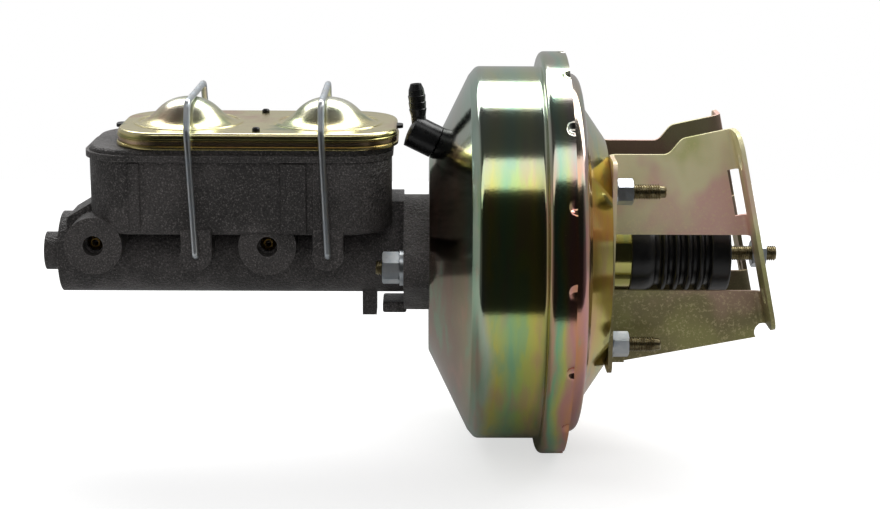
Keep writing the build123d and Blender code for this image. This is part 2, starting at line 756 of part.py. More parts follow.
def chamber_spans():
    """The front and rear reservoirs, on either side of the dividing wall."""
    half = TANK_WALL / 2
    return [
        (COVER_FRONT_X, DIVIDER_X + half),
        (DIVIDER_X - half, TANK_REAR_X),
    ]


def tube_seats():
    """Brass cones at the bottom of the outlet ports."""
    seats = []
    for x in PORT_XS:
        bottom = -PORT_FACE_Y + PORT_DEPTH + SEAT_POCKET
        seat = across(x, bottom - SEAT_BASE, PORT_Z, SEAT_R, SEAT_BASE)
        seat += Pos(x, bottom - SEAT_BASE, PORT_Z) * Rot(90, 0, 0) * Cone(
            SEAT_R, SEAT_TIP_R + SEAT_TIP_WALL, SEAT_HEIGHT - SEAT_BASE,
            align=(Align.CENTER, Align.CENTER, Align.MIN)
        )
        seats.append(seat - across(x, -PORT_FACE_Y, PORT_Z, SEAT_TIP_R, PORT_FACE_Y))
    return seats


def cover():
    """Pressed cover with a skirt and a dome over each reservoir."""
    skirt = tank_plan(RIM_PROUD, COVER_FRONT_X, COVER_REAR_X, TANK_CORNER_R)
    shell = Pos(0, 0, COVER_TOP_Z - COVER_SKIRT) * extrude(skirt, COVER_SKIRT)
    shell = fillet(shell.edges().group_by(Axis.Z)[-1], COVER_EDGE_R)
    hollow = tank_plan(RIM_PROUD - COVER_SHEET, COVER_FRONT_X + COVER_SHEET,
                       COVER_REAR_X - COVER_SHEET, TANK_CORNER_R)
    shell -= Pos(0, 0, COVER_TOP_Z - COVER_SKIRT) * extrude(hollow, COVER_SKIRT - COVER_SHEET)
    for x in DOME_XS:
        shell += Pos(x, 0, COVER_TOP_Z) * dome(0)
    for x in DOME_XS:
        shell -= Pos(x, 0, COVER_TOP_Z) * dome(COVER_SHEET)
    notch = Box(COVER_REAR_X - COVER_FRONT_X + 4 * TAB_WIDTH, TAB_WIDTH + 2 * NOTCH_PLAY,
                COVER_SKIRT, align=(Align.CENTER, Align.CENTER, Align.MAX))
    middle = (COVER_FRONT_X + COVER_REAR_X) / 2
    ends = Pos(middle, 0, DECK_Z) * notch
    return shell - ends


def dome(inset):
    """A bell-shaped dome, lowered and drawn in by the sheet's thickness."""
    radius = DOME_R - inset
    rise = DOME_RISE - inset
    foot = -COVER_SHEET - inset
    bell = Spline(
        (0, rise), (DOME_SWELL * radius, DOME_KNEE * rise), (radius, 0),
        tangents=((1, 0), (1, -DOME_FOOT_SLOPE)),
    )
    edge = Polyline((radius, 0), (radius, foot), (0, foot), (0, rise))
    return revolve(Plane.XZ * make_face(bell + edge), Axis.Z)


def gasket():
    """Rubber sheet between the cover and the reservoirs, with its pull tabs."""
    plan = tank_plan(RIM_PROUD - COVER_SHEET - LOOSE, COVER_FRONT_X + COVER_SHEET + LOOSE,
                     COVER_REAR_X - COVER_SHEET - LOOSE, TANK_CORNER_R)
    middle = (COVER_FRONT_X + COVER_REAR_X) / 2
    length = COVER_REAR_X - COVER_FRONT_X + 2 * RIM_PROUD + 2 * GASKET_TAB
    tabs = Pos(middle, 0) * RectangleRounded(length, TAB_WIDTH, TAB_WIDTH / 3)
    return Pos(0, 0, TANK_TOP_Z) * extrude(plan + tabs, GASKET)


def bail(x):
    """Wire bail: two inward ends in the casting, legs, and a bar over the cover's dome."""
    inner = PIVOT_FACE_Y - PIVOT_HOLE_DEPTH + LOOSE
    half = [
        (x, -inner, PIVOT_Z),
        (x, -BAIL_SIDE_Y, PIVOT_Z),
        (x - BAIL_LEAN, -BAIL_SIDE_Y, BAIL_KNEE_Z),
        (x - BAIL_LEAN, -BAIL_TOP_Y, BAIL_TOP_Z),
    ]
    route = half + [(px, -py, pz) for px, py, pz in half[::-1]]
    path = FilletPolyline(*route, radius=[BAIL_END_R, BAIL_BEND_R, BAIL_BEND_R,
                                          BAIL_BEND_R, BAIL_BEND_R, BAIL_END_R])
    return sweep(Plane(path @ 0, z_dir=path % 0) * Circle(BAIL_WIRE_R), path)


def primary_piston():
    """Rear piston, with the output rod's socket and two cup grooves."""
    return piston(PRIMARY_FRONT_X, PISTON_REST_X) - rod(
        PISTON_REST_X - SOCKET_DEPTH, PISTON_REST_X, SOCKET_R
    )


def secondary_piston():
    """Front piston between the two pressure chambers."""
    return piston(SECONDARY_FRONT_X, SECONDARY_REAR_X)


def cup_starts(front, rear):
    """The front faces of a piston's two cup grooves."""
    return (front + CUP_INSET, rear - CUP_INSET - CUP_WIDTH)


def piston(front, rear):
    """A spool with a waist and two cup grooves."""
    land = BORE_R - RUNNING
    shape = rod(front, rear, land)
    waist = (rear - front) / 4
    shape -= ring(front + waist, rear - waist, BORE_R, land - CUP_DEPTH / 2)
    for start in cup_starts(front, rear):
        shape -= ring(start, start + CUP_WIDTH, BORE_R, land - CUP_DEPTH)
    return shape


def cups(front, rear):
    """The two cup seals of one piston."""
    base = BORE_R - RUNNING - CUP_DEPTH
    return [
        ring(start, start + CUP_WIDTH, BORE_R - RUNNING, base)
        for start in cup_starts(front, rear)
    ]


def snap_ring():
    """Open ring that holds the primary piston in the bore."""
    full = ring(SNAP_RING_X, SNAP_RING_X + SNAP_RING, BORE_R + SNAP_GROOVE - RUNNING,
                BORE_R - SNAP_WIDTH)
    gap = Pos(SNAP_RING_X, 0, -BORE_R) * Box(4 * SNAP_RING, SNAP_GAP, BORE_R)
    return full - gap


def front_seal():
    """Seal about the output rod, against the inside of the front face."""
    return ring(WALL, WALL + SEAL_LENGTH, CENTRE_HOLE_R + SEAL_LIP, OUTPUT_ROD_R + RUNNING)


def hub_seal():
    """Lip seal between the hub's sleeve and the valve body's neck."""
    start = REAR_FACE_X + SEAL_INSET
    return ring(start, start + SEAL_LENGTH, HUB_R - WALL - RUNNING, NECK_R + RUNNING)


def air_filter():
    """Felt ring at the neck's open end."""
    return ring(NECK_END_X - FILTER, NECK_END_X, NECK_BORE_R - LOOSE, SHANK_R + FILTER_PLAY)


# Check valve

def check_valve():
    """Barbed elbow: a stub along the cone's normal and an upright hose nipple."""
    foot = cone_point(VALVE_FOOT_X)
    normal = cone_normal()
    body = Plane(foot + normal * LOOSE, z_dir=normal) * Cylinder(
        VALVE_BODY_R, VALVE_BODY, align=(Align.CENTER, Align.CENTER, Align.MIN)
    )
    body &= Pos(foot + normal * (VALVE_BODY + LOOSE - VALVE_DOME_R)) * Sphere(VALVE_DOME_R)
    stem = Plane(foot - normal * 2 * WALL, z_dir=normal) * Cylinder(
        VALVE_STEM_R, 3 * WALL, align=(Align.CENTER, Align.CENTER, Align.MIN)
    )
    centre = foot + normal * ELBOW_REACH
    upright = Pos(centre) * Rot(0, -NIPPLE_LEAN, 0)
    barbs_z = NIPPLE_HEIGHT - BARB_TOP - (BARBS - 1) * BARB_PITCH
    profile = [(0, 0), (NIPPLE_R, 0), (NIPPLE_R, barbs_z - BARB_PITCH)]
    for index in range(BARBS):
        crest = barbs_z + index * BARB_PITCH
        profile += [(BARB_R, crest), (BARB_R - BARB_STEP, crest + BARB_STEP)]
    profile += [
        (BARB_R - 2 * BARB_STEP, NIPPLE_HEIGHT - BARB_TOP / 2),
        (NIPPLE_TIP_R, NIPPLE_HEIGHT),
        (0, NIPPLE_HEIGHT),
    ]
    nipple = revolve(Plane.XZ * make_face(Polyline(*profile, close=True)), Axis.Z)
    passage = Cylinder(NIPPLE_BORE_R, NIPPLE_HEIGHT, align=(Align.CENTER, Align.CENTER, Align.MIN))
    return body + stem + upright * nipple - upright * passage


def check_valve_grommet():
    """Rubber grommet in the shell's hole, about the valve's stem."""
    foot = cone_point(VALVE_FOOT_X)
    normal = cone_normal()
    reach = 2 * WALL
    sleeve = Cylinder(VALVE_STEM_R + GROMMET_LIP - RUNNING, reach,
                      align=(Align.CENTER, Align.CENTER, Align.MAX))
    hole = Cylinder(VALVE_STEM_R + RUNNING, 4 * reach)
    return Plane(foot, z_dir=normal) * (sleeve - hole)


if __name__ == "__main__":
    os.makedirs("parts", exist_ok=True)
    save(master_cylinder_body(), "master_cylinder_body")
    save(cover(), "reservoir_cover")
    save(gasket(), "cover_gasket")
    save(bail(PIVOT_XS[0]), "front_bail")
    save(bail(PIVOT_XS[1]), "rear_bail")
    save(group(tube_seats()), "tube_seats")
    cylinder_nut = nut(NUT_SEAT_X - NUT_HEIGHT, NUT_HEIGHT, NUT_AF, STUD_R + RUNNING)
    save(group([spot * cylinder_nut for spot in front_stud_spots()]), "cylinder_nuts")
    washer = ring(NUT_SEAT_X, -FLANGE, WASHER_R, STUD_R + STUD_HOLE_PLAY)
    save(group([spot * washer for spot in front_stud_spots()]), "cylinder_washers")
    save(primary_piston(), "primary_piston")
    save(group(cups(PRIMARY_FRONT_X, PISTON_REST_X)), "primary_cups")
    save(secondary_piston(), "secondary_piston")
    save(group(cups(SECONDARY_FRONT_X, SECONDARY_REAR_X)), "secondary_cups")
    spring_r = BORE_R - SPRING_INSET
    save(coil(SECONDARY_REAR_X, PRIMARY_FRONT_X, spring_r, SPRING_WIRE_R, PRIMARY_TURNS), "primary_spring")
    save(coil(-BORE_DEPTH, SECONDARY_FRONT_X, spring_r, SPRING_WIRE_R, SECONDARY_TURNS), "secondary_spring")
    save(snap_ring(), "piston_snap_ring")

    save(front_shell(), "front_shell")
    save(rear_shell(), "rear_shell")
    save(group(front_studs()), "front_studs")
    save(group(rear_studs()), "rear_studs")
    rear_washer = ring(REAR_FACE_X + SHEET, REAR_NUT_SEAT_X, REAR_WASHER_R, STUD_R + STUD_HOLE_PLAY)
    save(group([spot * rear_washer for spot in rear_stud_spots()]), "rear_washers")
    rear_nut = nut(REAR_NUT_SEAT_X, REAR_NUT_HEIGHT, REAR_NUT_AF, STUD_R + RUNNING)
    save(group([spot * rear_nut for spot in rear_stud_spots()]), "rear_nuts")
    save(check_valve(), "check_valve")
    save(check_valve_grommet(), "check_valve_grommet")
    save(front_seal(), "front_seal")
    save(hub_seal(), "hub_seal")

    save(valve_body(), "valve_body")
    save(reaction_disc(), "reaction_disc")
    save(output_rod(), "output_rod")
    save(diaphragm_plate(), "diaphragm_plate")
    save(diaphragm(), "diaphragm")
    save(coil(WALL, HUB_FLANGE_X, RETURN_COIL_R, RETURN_WIRE_R, RETURN_TURNS), "return_spring")
    save(poppet(), "poppet")
    save(air_filter(), "air_filter")

    save(input_pushrod(), "input_pushrod")
    save(plunger(), "air_valve_plunger")
    save(nut(JAM_NUT_X, JAM_NUT_HEIGHT, JAM_NUT_AF, SHANK_R + RUNNING), "jam_nut")
    valve_spring = coil(POPPET_SEAT_X + POPPET, NECK_END_X - FILTER, NECK_BORE_R - SPRING_INSET,
                        VALVE_SPRING_WIRE_R, VALVE_SPRING_TURNS)
    save(valve_spring, "pushrod_spring")
    save(boot(), "boot")

    save(right_bracket(), "right_bracket")
    save(mirror(right_bracket(), Plane.XZ), "left_bracket")
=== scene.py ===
"""Looks of a vacuum brake booster with its master cylinder and firewall brackets.

Metres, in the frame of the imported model: X runs rearwards along the booster's axis, Z is up,
and the outlet ports face -Y. Stations along the axis are given from the face where the
cylinder meets the booster, and radii and heights from the axis.
"""
import logging
import math
from dataclasses import dataclass, field
from enum import Enum
from typing import Callable, Sequence

import bmesh
import bpy
from mathutils import Matrix, Vector


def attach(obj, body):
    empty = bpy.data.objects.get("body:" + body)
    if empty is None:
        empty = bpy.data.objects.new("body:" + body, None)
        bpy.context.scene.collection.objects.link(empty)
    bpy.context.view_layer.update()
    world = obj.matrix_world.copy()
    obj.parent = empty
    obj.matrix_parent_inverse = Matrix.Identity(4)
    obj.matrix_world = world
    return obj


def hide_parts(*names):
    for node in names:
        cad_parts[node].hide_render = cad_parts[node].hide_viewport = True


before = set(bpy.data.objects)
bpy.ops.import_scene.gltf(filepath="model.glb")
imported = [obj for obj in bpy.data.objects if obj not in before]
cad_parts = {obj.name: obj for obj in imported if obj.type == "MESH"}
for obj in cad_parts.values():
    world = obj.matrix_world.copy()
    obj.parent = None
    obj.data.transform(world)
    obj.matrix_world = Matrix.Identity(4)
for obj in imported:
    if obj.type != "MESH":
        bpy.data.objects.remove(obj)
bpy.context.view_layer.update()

LOG = logging.getLogger("scene")
MM = 0.001
POLE_R = 0.01           # a spun shape's radius at its pole, in millimetres
AXIS = Vector((-199.461, 0.0, -25.403)) * MM
Colour = tuple[float, float, float, float]
Point = tuple[float, float]
Line = Sequence[Point]
Socket = bpy.types.NodeSocket
Sockets = bpy.types.bpy_prop_collection
Shape = bmesh.types.BMesh


def spot(x: float, y: float, z: float) -> Vector:
    """A point of the frame, in metres, from millimetres off the booster's front face and axis."""
    return AXIS + Vector((x, y, z)) * MM


def srgb(red: float, green: float, blue: float) -> Colour:
    """A linear colour from display values of 0 to 255."""
    def channel(value: float) -> float:
        """One display channel made linear."""
        share = value / 255.0
        return share / 12.92 if share <= 0.04045 else ((share + 0.055) / 1.055) ** 2.4
    return (channel(red), channel(green), channel(blue), 1.0)


# Node trees

class Graph:
    """A node tree with short calls that add and join nodes."""

    def __init__(self, tree: bpy.types.NodeTree) -> None:
        """Wrap a tree.

        Args:
            tree: the node tree to build in.
        """
        self.tree = tree

    def put(self, kind: str, inputs: dict | None = None, **attributes: object) -> bpy.types.Node:
        """Add a node, set its attributes, and set or join its inputs.

        Args:
            kind: the node's type name without its ShaderNode prefix.
            inputs: socket names or numbers, each with a value or an output socket.
            attributes: the node's own settings.

        Returns:
            The new node.
        """
        node = self.tree.nodes.new(f"ShaderNode{kind}")
        for name, value in attributes.items():
            setattr(node, name, value)
        for key, value in (inputs or {}).items():
            self.join(node.inputs[key], value)
        return node

    def join(self, socket: Socket, value: object) -> None:
        """Link an output to a socket, or set the socket's own value."""
        if isinstance(value, Socket):
            self.tree.links.new(value, socket)
        else:
            socket.default_value = value

    def math(self, operation: str, *values: object) -> Socket:
        """A Math node's result for one to three values."""
        return self.put("Math", dict(enumerate(values)), operation=operation).outputs[0]

    def mix(self, share: object, first: object, second: object) -> Socket:
        """Two colours mixed by a share."""
        node = self.put("Mix", {0: share, 6: first, 7: second}, data_type="RGBA")
        return node.outputs[2]

    def noise(self, vector: object, scale: float, detail: float = 3.0,
              roughness: float = 0.55) -> Socket:
        """A noise texture's value."""
        node = self.put("TexNoise", {"Vector": vector, "Scale": scale, "Detail": detail,
                                     "Roughness": roughness})
        return node.outputs["Fac"]

    def ramp(self, value: object, low: float, high: float,
             bottom: float = 0.0, top: float = 1.0) -> Socket:
        """A value taken smoothly from one range to another, and held at both ends."""
        node = self.put("MapRange", {0: value, 1: low, 2: high, 3: bottom, 4: top},
                        interpolation_type="SMOOTHSTEP")
        return node.outputs[0]

    def colours(self, value: object, stops: Sequence[tuple[float, Colour]]) -> Socket:
        """A colour ramp with its stops in order."""
        node = self.put("ValToRGB", {0: value})
        elements = node.color_ramp.elements
        while len(elements) > 1:
            elements.remove(elements[-1])
        elements[0].position, elements[0].color = stops[0]
        for position, colour in stops[1:]:
            elements.new(position).color = colour
        return node.outputs[0]

    def place(self) -> Socket:
        """The surface's own position, in metres."""
        return self.put("TexCoord").outputs["Object"]

    def from_axis(self, stretch: Sequence[float] = (1, 1, 1)) -> Socket:
        """The surface's position from the front face and axis, stretched along each axis."""
        node = self.put("Mapping", {"Vector": self.place(), "Location": -AXIS})
        scaled = self.put("VectorMath", {0: node.outputs[0], 1: stretch}, operation="MULTIPLY")
        return scaled.outputs[0]

    def split(self, vector: Socket) -> Sockets:
        """A vector's three parts."""
        return self.put("SeparateXYZ", {0: vector}).outputs


def emptied(owner: bpy.types.Material | bpy.types.World) -> Graph:
    """The node graph of a material or a world, with nothing in it yet."""
    owner.use_nodes = True
    owner.node_tree.nodes.clear()
    return Graph(owner.node_tree)


class Effects:
    """Shared effects, each a node group that is built once."""

    def __init__(self) -> None:
        """Build every group."""
        self.cloud = self.group("tint_cloud", "Mask", self._cloud,
                                {"Scale": 20.0, "Low": 0.4, "High": 0.6})
        self.grain = self.group("surface_grain", "Height", self._grain,
                                {"Scale": 900.0, "Fine": 2600.0})
        # Convex edges painted lighter: partly wear, partly a painted edge highlight.
        self.wear_and_highlight = self.group("edge_wear_and_highlight", "Mask", self._wear_and_highlight,
                               {"Radius": 0.0008, "Breakup": 260.0})

    def group(self, name: str, answer: str, fill: Callable,
              sockets: dict[str, float]) -> bpy.types.NodeTree:
        """Make one group.

        Args:
            name: the group's name.
            answer: its output's name.
            fill: the method that adds its nodes.
            sockets: its number inputs with their default values.

        Returns:
            The node group.
        """
        tree = bpy.data.node_groups.new(name, "ShaderNodeTree")
        for label, value in sockets.items():
            made = tree.interface.new_socket(label, in_out="INPUT", socket_type="NodeSocketFloat")
            made.default_value = value
        tree.interface.new_socket(answer, in_out="OUTPUT", socket_type="NodeSocketFloat")
        graph = Graph(tree)
        start = tree.nodes.new("NodeGroupInput")
        end = tree.nodes.new("NodeGroupOutput")
        graph.join(end.inputs[0], fill(graph, start.outputs))
        return tree

    @staticmethod
    def _cloud(graph: Graph, given: Sockets) -> Socket:
        """Soft uneven patches."""
        value = graph.noise(graph.place(), given["Scale"], 4.0, 0.6)
        node = graph.put("MapRange", {0: value, 1: given["Low"], 2: given["High"]},
                         interpolation_type="SMOOTHSTEP")
        return node.outputs[0]

    @staticmethod
    def _grain(graph: Graph, given: Sockets) -> Socket:
        """Coarse and fine grain added together."""
        coarse = graph.noise(graph.place(), given["Scale"], 2.0)
        fine = graph.noise(graph.place(), given["Fine"], 2.0)
        return graph.math("MULTIPLY_ADD", fine, 0.4, coarse)

    @staticmethod
    def _wear_and_highlight(graph: Graph, given: Sockets) -> Socket:
        """Convex edges, broken up by noise: partly wear, partly a painted edge highlight."""
        eased_off = graph.put("Bevel", {"Radius": given["Radius"]}, samples=4)
        plain = graph.put("NewGeometry")
        turn = graph.put("VectorMath", {0: eased_off.outputs[0], 1: plain.outputs["Normal"]},
                         operation="DOT_PRODUCT")
        edge = graph.ramp(turn.outputs["Value"], 0.97, 0.86)
        broken = graph.ramp(graph.noise(graph.place(), given["Breakup"]), 0.38, 0.58)
        return graph.math("MULTIPLY", edge, broken)


# Finishes

@dataclass(frozen=True)
class Finish:
    """A plain finish: colour in two tones, gloss, metal and grain."""

    name: str
    base: Colour
    second: Colour
    roughness: float = 0.4
    metallic: float = 0.0
    cloud_scale: float = 60.0
    grain: float = 0.0
    grain_scale: float = 900.0
    grain_fine: float = 2600.0
    # How strongly convex edges are painted lighter, and in what colour: partly wear, partly a
    # painted edge highlight.
    wear_and_highlight: float = 0.0
    wear_and_highlight_colour: Colour = (0.5, 0.5, 0.5, 1.0)

    def build(self, effects: Effects) -> bpy.types.Material:
        """Make the material.

        Args:
            effects: the shared node groups.

        Returns:
            The new material.
        """
        material = bpy.data.materials.new(self.name)
        graph = emptied(material)
        shader = graph.put("BsdfPrincipled")
        output = graph.put("OutputMaterial", {"Surface": shader.outputs[0]})
        output.is_active_output = True
        colour, mask = self.dress(graph, effects)
        graph.join(shader.inputs["Base Color"], colour)
        self.gloss(graph, shader, effects, mask)
        return material

    def dress(self, graph: Graph, effects: Effects) -> tuple[Socket, Socket]:
        """The finish's colour, and the mask that its gloss follows."""
        cloud = self.patches(graph, effects)
        colour = graph.mix(cloud, self.base, self.second)
        # Convex edges painted lighter: partly wear, partly a painted edge highlight.
        if self.wear_and_highlight:
            mask = graph.put("Group", {}, node_tree=effects.wear_and_highlight).outputs[0]
            share = graph.math("MULTIPLY", mask, self.wear_and_highlight)
            colour = graph.mix(share, colour, self.wear_and_highlight_colour)
        return colour, cloud

    def patches(self, graph: Graph, effects: Effects) -> Socket:
        """The mask that mixes the two tones."""
        node = graph.put("Group", {}, node_tree=effects.cloud)
        node.inputs["Scale"].default_value = self.cloud_scale
        return node.outputs[0]

    def gloss(self, graph: Graph, shader: bpy.types.Node, effects: Effects,
              cloud: Socket) -> None:
        """Set metal, roughness and grain."""
        shader.inputs["Metallic"].default_value = self.metallic
        rough = graph.ramp(cloud, 0.0, 1.0, self.roughness * 0.88, self.roughness * 1.12)
        graph.join(shader.inputs["Roughness"], rough)
        if self.grain:
            node = graph.put("Group", {}, node_tree=effects.grain)
            node.inputs["Scale"].default_value = self.grain_scale
            node.inputs["Fine"].default_value = self.grain_fine
            bump = graph.put("Bump", {"Height": node.outputs[0], "Strength": 1.0,
                                      "Distance": self.grain})
            graph.join(shader.inputs["Normal"], bump.outputs[0])


@dataclass(frozen=True, kw_only=True)
class ShellZinc(Finish):
    """Bright yellow-zinc plate on the pressed shells, its tint drifting along the axis."""

    stops: tuple
    blush: Colour
    blush_share: float
    cool: Colour
    # The pale colour of the painted reflection over the top, and the heights where it fades in.
    painted_sky_reflection: Colour
    reflection_low: float = 52.0
    reflection_high: float = 88.0
    drift: float = 26.0
    length: float = 120.0

    def dress(self, graph: Graph, effects: Effects) -> tuple[Socket, Socket]:
        """Tint by the station along the axis, broken up by clouds, with pink blushes and a painted
        reflection that pales the top.
        """
        x, _, z = graph.split(graph.from_axis())
        drift = graph.noise(graph.from_axis((1.0, 0.35, 0.35)), 30.0, 4.0)
        shift = graph.math("MULTIPLY_ADD", drift, self.drift * MM, -self.drift / 2 * MM)
        station = graph.math("ADD", x, shift)
        share = graph.ramp(station, 0.0, self.length * MM)
        linear = graph.put("MapRange", {0: station, 1: 0.0, 2: self.length * MM})
        tint = graph.colours(linear.outputs[0], self.stops)
        streaks = graph.noise(graph.from_axis((2.6, 0.5, 0.5)), 44.0, 4.0)
        cloud = graph.ramp(streaks, 0.5, 0.68, 0.0, self.blush_share)
        tint = graph.mix(cloud, tint, self.blush)
        tint = graph.mix(graph.ramp(streaks, 0.47, 0.34, 0.0, self.blush_share), tint, self.cool)
        # Painted reflection: the top of the shells is mixed towards a pale blue-white, the overhead
        # light seen in them.
        high = graph.ramp(z, self.reflection_low * MM, self.reflection_high * MM, 0.0, 0.62)
        return graph.mix(high, tint, self.painted_sky_reflection), share


@dataclass(frozen=True, kw_only=True)
class CoverZinc(Finish):
    """Bright thin zinc plate on the pressed cover: pale gold, with olive, teal and pink veils."""

    low: float
    high: float
    rim: tuple
    teal: Colour
    pink: Colour
    wander: float = 2.4

    def dress(self, graph: Graph, effects: Effects) -> tuple[Socket, Socket]:
        """Stack thin tint lines up the skirt, and drift veils over the top."""
        height = graph.split(graph.from_axis())[2]
        wander = graph.noise(graph.place(), 60.0, 3.0)
        level = graph.math("MULTIPLY_ADD", wander, self.wander * MM, height)
        share = graph.put("MapRange", {0: level, 1: self.low * MM, 2: self.high * MM})
        colour = graph.colours(share.outputs[0], self.rim)
        veil = graph.noise(graph.place(), 28.0, 4.0)
        colour = graph.mix(graph.ramp(veil, 0.52, 0.7, 0.0, 0.7), colour, self.pink)
        colour = graph.mix(graph.ramp(veil, 0.46, 0.32, 0.0, 0.8), colour, self.teal)
        return colour, veil


@dataclass(frozen=True, kw_only=True)
class PlateZinc(Finish):
    """Satin yellow-zinc plate on the brackets: sandy speckle over broad drifting tints."""

    pink: Colour
    green: Colour
    speckle: Colour
    # The colour of the painted shade on the faces turned towards the axis.
    inside: Colour
    sway: float = 40.0
    olive_below: float = -22.0
    tan_above: float = 62.0

    def dress(self, graph: Graph, effects: Effects) -> tuple[Socket, Socket]:
        """Tan above and olive below, with pink and green veils, and painted shade on the inner
        faces.
        """
        _, y, z = graph.split(graph.from_axis())
        broad = graph.noise(graph.place(), 18.0, 3.0)
        level = graph.math("MULTIPLY_ADD", broad, self.sway * MM, z)
        height = graph.ramp(level, self.olive_below * MM, self.tan_above * MM)
        colour = graph.mix(height, self.base, self.second)
        veil = graph.noise(graph.from_axis((1.0, 1.0, 0.8)), 17.0, 3.0)
        colour = graph.mix(graph.ramp(veil, 0.5, 0.64, 0.0, 0.75), colour, self.pink)
        colour = graph.mix(graph.ramp(veil, 0.5, 0.37, 0.0, 0.75), colour, self.green)
        lower = graph.math("MULTIPLY", graph.math("SUBTRACT", 1.0, height), 0.72)
        colour = graph.mix(lower, colour, self.base)
        fine = graph.ramp(graph.noise(graph.place(), 560.0, 3.0, 0.7), 0.52, 0.66)
        colour = graph.mix(graph.math("MULTIPLY", fine, 0.3), colour, self.speckle)
        # Painted shade: faces turned towards the axis are darkened, as if the other bracket shadows
        # them.
        facing = graph.split(graph.put("NewGeometry").outputs["Normal"])
        outward = graph.math("MULTIPLY", facing[1], y)
        inner = graph.ramp(outward, -4 * MM, -16 * MM, 0.0, 0.82)
        return graph.mix(inner, colour, self.inside), height


@dataclass(frozen=True, kw_only=True)
class CastIron(Finish):
    """Sand-cast iron: dark and granular, its bright grains partly the iron's own grain and partly
    painted glints of light.
    """

    grain_glint: Colour
    pit: Colour = (0.01, 0.01, 0.01, 1.0)

    def dress(self, graph: Graph, effects: Effects) -> tuple[Socket, Socket]:
        """Dark base with bright flecks that are partly painted glints, and a coarse sand texture in
        the normal.
        """
        place = graph.place()
        cloud = self.patches(graph, effects)
        colour = graph.mix(cloud, self.base, self.second)
        # Bright flecks: partly the iron's grain, partly painted glints of light.
        grains = graph.noise(place, 980.0, 3.0, 0.75)
        grain_glint = graph.math("MULTIPLY", graph.ramp(grains, 0.52, 0.68), 0.42)
        colour = graph.mix(grain_glint, colour, self.grain_glint)
        pits = graph.math("MULTIPLY", graph.ramp(grains, 0.46, 0.34), 0.6)
        colour = graph.mix(pits, colour, self.pit)
        # Convex edges painted lighter: partly wear, partly a painted edge highlight.
        mask = graph.put("Group", {}, node_tree=effects.wear_and_highlight).outputs[0]
        colour = graph.mix(graph.math("MULTIPLY", mask, self.wear_and_highlight), colour, self.wear_and_highlight_colour)
        return colour, cloud


class Slot(Enum):
    """The record's material slots."""

    CAST_IRON = "cast_iron"
    SHELL = "yellow_zinc_gloss"
    BRACKET = "yellow_zinc_satin"
    BRIGHT = "bright_zinc"
    THREAD = "zinc_thread"
    STEEL = "steel"
    SPRING = "spring_steel"
    ALUMINIUM = "aluminium"
    BRASS = "brass"
    RUBBER = "black_rubber"
    PLASTIC = "black_plastic"
    VALVE = "grey_plastic"
    FELT = "felt"
    COVER = "cover"

    @property
    def record(self) -> str:
        """The record's own name for the slot."""
        return "yellow_zinc_gloss" if self is Slot.COVER else self.value


def stops(*rows: tuple[float, float, float, float]) -> tuple[tuple[float, Colour], ...]:
    """Colour stops from rows of share, red, green and blue."""
    return tuple((share, srgb(*tint)) for share, *tint in rows)


SHELL_STOPS = stops(
    (0.0, 176, 160, 146), (0.10, 166, 146, 128), (0.17, 176, 166, 136), (0.21, 164, 192, 166),
    (0.25, 190, 204, 180), (0.31, 218, 212, 110), (0.39, 162, 206, 150), (0.46, 196, 214, 116),
    (0.51, 216, 206, 108), (0.55, 176, 176, 110), (0.585, 206, 168, 140), (0.61, 140, 196, 150),
    (0.65, 206, 206, 116), (0.69, 216, 156, 150), (0.72, 236, 168, 120), (0.76, 214, 160, 160),
    (0.80, 226, 190, 120), (0.86, 222, 212, 108), (0.93, 230, 214, 116), (1.0, 204, 200, 120),
)

COVER_STOPS = stops(
    (0.0, 226, 204, 120), (0.10, 244, 228, 160), (0.16, 170, 154, 96), (0.20, 220, 186, 160),
    (0.28, 206, 190, 130), (0.33, 156, 156, 96), (0.38, 234, 218, 150), (0.43, 232, 222, 176),
    (0.55, 236, 226, 176), (0.70, 236, 232, 196), (1.0, 240, 240, 222),
)


